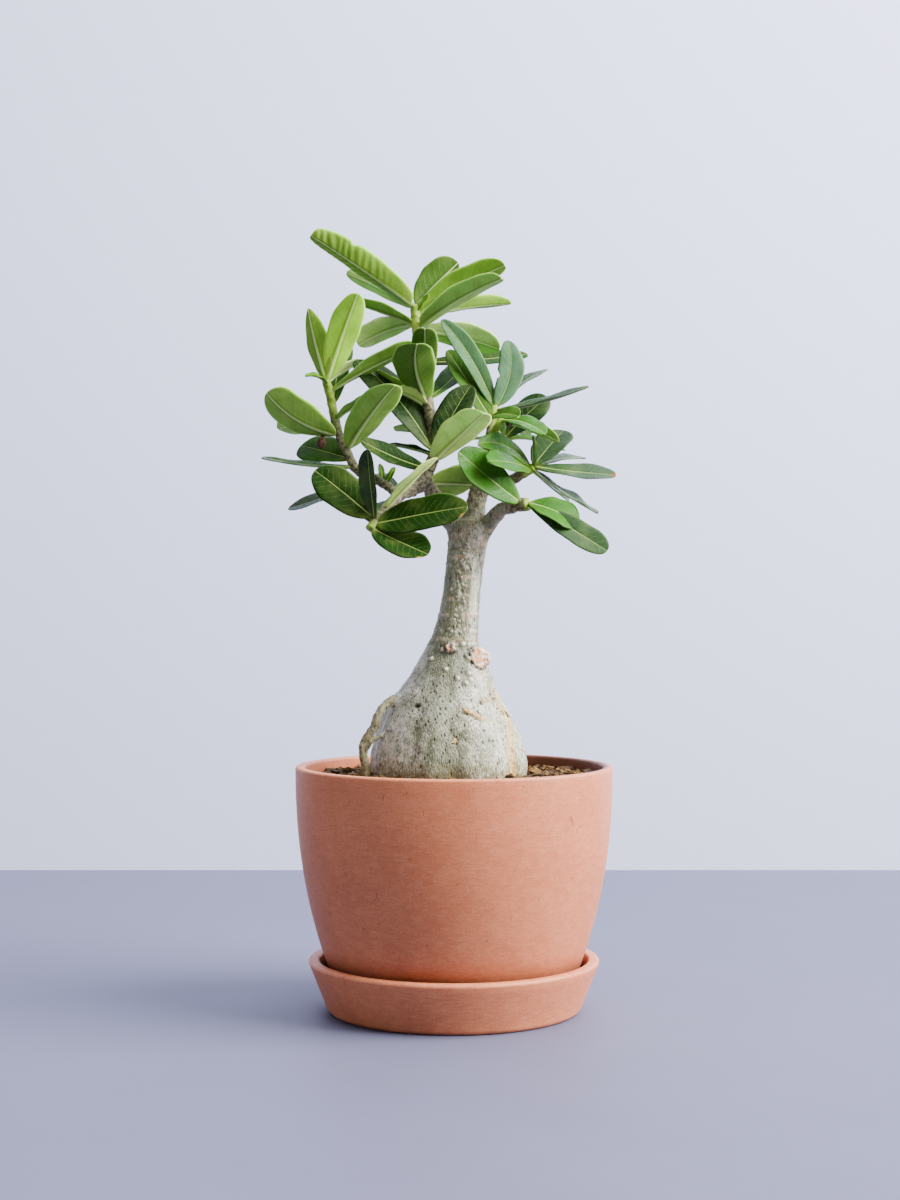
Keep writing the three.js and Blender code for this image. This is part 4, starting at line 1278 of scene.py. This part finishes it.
# Tall shoot
# The highest branch: young light green leaves round its growing tip, older ones lower down.
# Their pale undersides show from in front.
shoot(
    "tall",
    [
        (0.99, (-67, -12, 364.6), 18, (0.43, 0.76, 0.48), "young",
         dict(fold=0.5, bow=1.5, broad=0.6, blunt=0.3, halves=(1.1, 0.9), crinkle=0.9,
              notch=(-1, 0.68, 0.16), rows=100)),
        (0.99, (-52, 18, 352), 11.5, (0.2, 0.85, 0.5), "light", dict(fold=0.3, blunt=0.36)),
        (0.99, (2, 12, 356), 19, (-0.6, 0.8, 0), "vivid",
         dict(fold=0.5, bow=1.5, broad=0.66, blunt=0.4, halves=(0.75, 1.15))),
        (0.86, (22, -26, 342), 16, (-0.2, 0.65, 0.75), "matt",
         dict(fold=0.45, bow=3, broad=0.6, blunt=0.38)),
        (0.94, (24, -4, 352), 18, (-0.4, 0.74, 0.55), "young",
         dict(fold=0.35, bow=3, broad=0.6, blunt=0.38)),
        (0.92, (28, 30, 339), 13, (-0.1, 0.55, 0.83), "young", dict(fold=0.45, bow=2.5, crinkle=0.5)),
        (0.88, (-50, 6, 336), 13, (0.3, 0.35, 0.89), "mid", dict(fold=0.4, bow=1)),
        (0.89, (-46, 10, 316), 18, (-0.3, 0.65, 0.7), "light", dict(fold=0.3, bow=3, broad=0.66)),
        (0.85, (22, 9, 314), 18, (0, 0.7, 0.7), "light", dict(bow=3)),
        (0.96, (-12, 0, 339), 4.5, (0, -0.5, 0.5), "young", dict(fold=0.1, bow=0.5)),
        # painted shade: these two leaves have a green made darker where their undersides lie in shade
        (0.42, (-17, -34, 310.7), 23, (0, 0.67, 0.74), "mid_in_shade",
         dict(fold=0.36, bow=3, sway=3, broad=0.58, blunt=0.6, wave=0.6, halves=(0.9, 1.1))),
        (0.52, (-13.5, -27, 318.8), 14.5, (0, 0.55, 0.85), "mid_in_shade",
         dict(fold=0.25, broad=0.66, blunt=0.36)),
        (0.12, (-47, 4, 308), 20, (0.4, -0.8, 0.4), "teal",
         dict(fold=0.12, sway=3, start=(-9.6, -13.6, 262))),
        (0.4, (-40, 5, 303), 12, (0.4, 0.25, 0.85), "mid", dict(fold=0.25, bow=1)),
        (0.39, (-27, -5, 293), 13, (0.3, 0.5, 0.8), "pale", dict(bow=1)),
        (0.17, (8, -8, 294.5), 18.5, (-0.4, -0.85, 0.3), "teal",
         dict(broad=0.58, start=(-8.6, -14.4, 263))),
        (0.05, (13.4, -46, 278), 21.5, (-0.1, 0.6, 0.8), "pale",
         dict(fold=0.3, bow=3, sway=-2, broad=0.6)),
        (0.22, (-28, 10, 275), 14, (0, 0.3, 0.95), "mid", dict(bow=1)),
        (0.66, (36, 31, 314), 14, (-0.1, -0.72, 0.7), "dark", dict(bow=-0.5, broad=0.66)),
        (0.44, (6, 26, 311), 17, (-0.4, -0.88, 0.2), "mid", dict(fold=0.15, bow=1, sway=3, broad=0.66)),
        (0.05, (9, 10, 249), 22, (-0.1, 0.8, 0.6), "mid", dict(fold=0.15, bow=1, start=(-14, -10, 248))),
        (0.05, (-43, -26, 267), 13, (0.2, -0.75, 0.6), "dark", dict(bow=-1, start=(-12.4, -15.6, 254.5))),
        (0.1, (-31, -6, 267), 10, (0.3, -0.35, 0.9), "dark", dict(bow=1)),
        (0.55, (-20, 40, 300), 16, (0, 0.2, 1), "mid", dict(bow=4)),
        (0.27, (3, 34, 284), 15, (0.2, -0.4, 1), "mid", dict(bow=3)),
    ],
    woody_share=0.6,
    tip_radius=2.3,
)

# Left shoot
# An upright stem on the left, soft and green at its end, grown from the low left branch. It carries
# curled young leaves, larger and thicker ones lower down, and a dried brown bud.
shoot(
    "left",
    [
        (0.99, (-69, -2, 332), 15, (0.5, 0.85, 0.15), "young",
         dict(fold=0.35, bow=-1, broad=0.5, blunt=0.75)),
        (0.98, (-45, -14, 337), 17, (-0.15, 0.9, 0.35), "lime"),
        (0.96, (-70, -8, 299), 8, (0, -0.4, 0.9), "young", dict(bow=2.5)),
        (0.98, (-45, 10, 308), 11, (-0.1, 0.5, 0.85), "light", dict(bow=1)),
        (0.91, (-16, -12, 313), 14, (-0.3, 0.6, 0.75), "mid", dict(fold=0.35, broad=0.72)),
        (0.71, (-37, -13, 290), 11, (-0.3, 0.2, 0.9), "mid", dict(bow=1)),
        (0.47, (-27, -34, 292), 21, (-0.2, 0.6, 0.75), "mid", dict(broad=0.6)),
        (0.6, (-87, -20, 290), 20, (0.3, 0.8, 0.5), "mid",
         dict(fold=0.15, bow=-2, sway=3, broad=0.64, halves=(1.25, 0.95))),
        (0.64, (-85, 12, 276.5), 18, (0.1, 0.6, 0.8), "light"),
        (0.4, (-74, 17, 268), 20, (0.2, -0.85, 0.4), "mid", dict(fold=0.1, bow=1, broad=0.66)),
        (0.34, (-90, -15, 260), 12, (0, -0.3, 0.95), "deep", dict(fold=0.15, bow=-1)),
        (0.18, (-79, 4, 237), 15, (-0.2, -0.5, 0.85), "grey", dict(bow=-1)),
        (0.14, (-26, 2, 247), 15, (0.1, -0.8, 0.5), "grey", dict(fold=0.1, bow=-0.5)),
        (0.05, (-35, -2, 258), 4, (0, -0.6, 0.6), "young", dict(bow=1)),
        (0.03, (-28, -8, 256), 4, (0.2, -0.8, 0.5), "young", dict(bow=1)),
        (0.8, (-54, 34, 322), 14, (0, -0.6, 0.8), "mid", dict(bow=3)),
    ],
    buds=[
        ((-62.8, -4, 268), (2.2, 2.0, 2.8), (0.3, 0, 1)),
        ((-62.2, -2.6, 271.8), (0.9, 0.9, 3.2), (0.15, 0, 1)),
        ((-59.2, -2, 272.6), (0.8, 0.8, 2.6), (0.9, 0, 0.4)),
    ],
    woody_share=0.72,
    tip_radius=2.1,
)

# Low left shoot
# The end of the low left branch, with thick leaves that are dark above. They spread flat to the
# light and grow as one with the branch.
shoot(
    "low_left",
    [
        (0.74, (-64, -30, 253), 20, (-0.2, -0.85, 0.5), "dark",
         dict(fold=0.1, broad=0.6, wave=0.6, start=(-37, -33, 231))),
        (0.72, (-39, -42, 262), 13, (-0.6, -0.75, 0.1), "deep", dict(fold=0.4, bow=1)),
        (0.85, (6, -50, 235.4), 21, (0, -0.85, 0.55), "dark",
         dict(fold=0.1, bow=1, broad=0.56, blemish=((6, 0.985), 2.4, paint(206, 168, 52)))),
        (0.97, (-12, -52, 214), 20, (0.1, -0.75, 0.65), "dark",
         dict(fold=0.1, bow=0, blemish=((5, 0.985), 1.6, paint(206, 168, 52)))),
        (0.3, (-8, -44, 258), 13, (-0.75, 0.4, 0.55), "pale", dict(bow=0, sway=2, broad=0.56)),
        (0.64, (-30, -8, 240), 12, (0, -0.6, 0.8), "mid", dict(fold=0.1, bow=1)),
        (0.83, (-52, -2, 243), 15, (0, -0.4, 1), "mid", dict(fold=0.15, bow=3)),
    ],
    woody_share=0.85,
)

# Upper right shoot
# The end of the branch that stands up on the right, and grown as one with it. Its grey-green
# leaves have a waxy sheen and stand round the tip.
shoot(
    "upper_right",
    [
        # painted light: the two front leaves have greens made lighter where the window lights them and
        # shines on them
        (0.95, (-6, -12, 325), 12.5, (0.12, -0.9, 0.3), "lit", dict(fold=0.3, bow=0, sway=3, broad=0.6)),
        (0.93, (26, 4, 317.5), 15, (0.35, -0.92, 0.1), "painted_sheen",
         dict(fold=0.1, bow=1, sway=4, broad=0.6, notch=(-1, 0.5, 0.3))),
        (0.88, (64, 0, 295), 12, (-0.1, -0.3, 0.95), "deep", dict(fold=0.25, bow=-1.2)),
        (0.98, (46, 34, 307), 11, (-0.3, -0.4, 0.85), "deep"),
        (0.88, (23, 50, 300), 10, (0, -0.3, 0.95), "mid"),
        (0.6, (-3.5, 0, 312), 16, (0.5, -0.8, 0.3), "mid", dict(bow=1)),
    ],
    woody_share=0.55,
)

# Middle shoot
# A short side shoot grown from the upper right branch. It ends in a cluster of small dry buds
# between its leaves.
shoot(
    "middle",
    [
        (0.55, (29.6, -28, 278), 13, (-0.2, -0.6, 0.75), "mid", dict(start=(17, -7, 279))),
        (0.75, (42, -26, 270), 13, (-0.1, -0.45, 0.9), "bright", dict(bow=3)),
        (0.8, (49, -14, 268), 12, (0, 0.55, 0.83), "mid"),
    ],
    buds=[
        ((25.6, -8.2, 279), (1.4, 1.4, 3), (0.2, -0.2, 1)),
        ((27.4, -8.8, 277.6), (1.3, 1.3, 2.5), (0.7, -0.3, 0.6)),
        ((25.4, -9.8, 276.6), (1.3, 1.3, 2.5), (0, -0.8, 0.4)),
    ],
)

# Back shoot
# A side branch that leans to the back, grown from the upper right branch, soft and green at its
# end. Its leaves spread flat.
shoot(
    "back",
    [
        (0.97, (46, 30, 293), 18, (-0.2, -0.85, 0.5), "grey", dict(fold=0.1, broad=0.66)),
        (0.95, (55, 44, 268), 13, (0, -0.3, 0.95), "mid", dict(bow=3)),
        (0.9, (10, 62, 290), 16, (0, -0.4, 0.9), "mid", dict(bow=4)),
        (0.98, (38, 68, 278), 17, (-0.2, -0.3, 0.9), "mid", dict(fold=0.15, bow=4)),
        (0.7, (2, 50, 271), 15, (0.2, -0.3, 0.9), "mid", dict(bow=4)),
        (0.8, (22, 62, 262), 14, (0, -0.2, 1), "mid", dict(bow=5)),
    ],
)

# Right shoot
# The green end of a side branch, grown from the upper right branch, with leathery leaves all round
# it. Those in front are a fresh glossy green, and most of the others are greyer.
shoot(
    "right",
    [
        (0.84, (15.5, -34, 257), 17, (0.4, -0.6, 0.7), "bright", dict(fold=0.12, broad=0.6)),
        (0.91, (11, -20, 266), 14, (0.3, -0.75, 0.6), "bright", dict(fold=0.15, sway=5, broad=0.6)),
        (0.98, (53, 12, 275), 21, (-0.4, -0.75, 0.5), "grey", dict(fold=0.12, bow=1, broad=0.66)),
        (0.98, (63, 14, 262), 13, (-0.1, -0.35, 0.9), "deep", dict(fold=0.15)),
        (0.97, (76, -10, 252), 16, (0.1, -0.55, 0.8), "grey",
         dict(fold=0.15, bow=0, broad=0.66, blemish=((0, 0.99), 2, paint(120, 74, 40)))),
        (0.91, (67, -18, 234), 12, (0.45, -0.3, 0.8), "grey", dict(fold=0.15, bow=-0.5, wave=0.9)),
        (0.9, (55, 6, 241), 12, (0.5, -0.3, 0.8), "grey", dict(fold=0.15, bow=0)),
        (0.97, (37, -6, 271), 9, (1, -0.2, 0), "dark", dict(bow=1)),
    ],
    woody_share=0.7,
)

# Low right shoot
# The lowest branch on the right, grown from the top of the trunk and bare nearly to its tip. Three
# thick leaves grow there, one of them up in front of the fork.
shoot(
    "low_right",
    [
        (0.65, (2, -30, 261.6), 21, (0.02, -0.85, 0.5), "bright", dict(bow=-0.5, broad=0.64)),
        (0.95, (70, -32, 216), 15.5, (0.1, -0.8, 0.45), "grey",
         dict(fold=0.14, bow=1, broad=0.7, blunt=0.4)),
        (0.95, (57, -22, 228), 19, (0.2, -0.7, 0.7), "bright", dict(bow=3, broad=0.66, blunt=0.4)),
    ],
    woody_share=0.9,
)
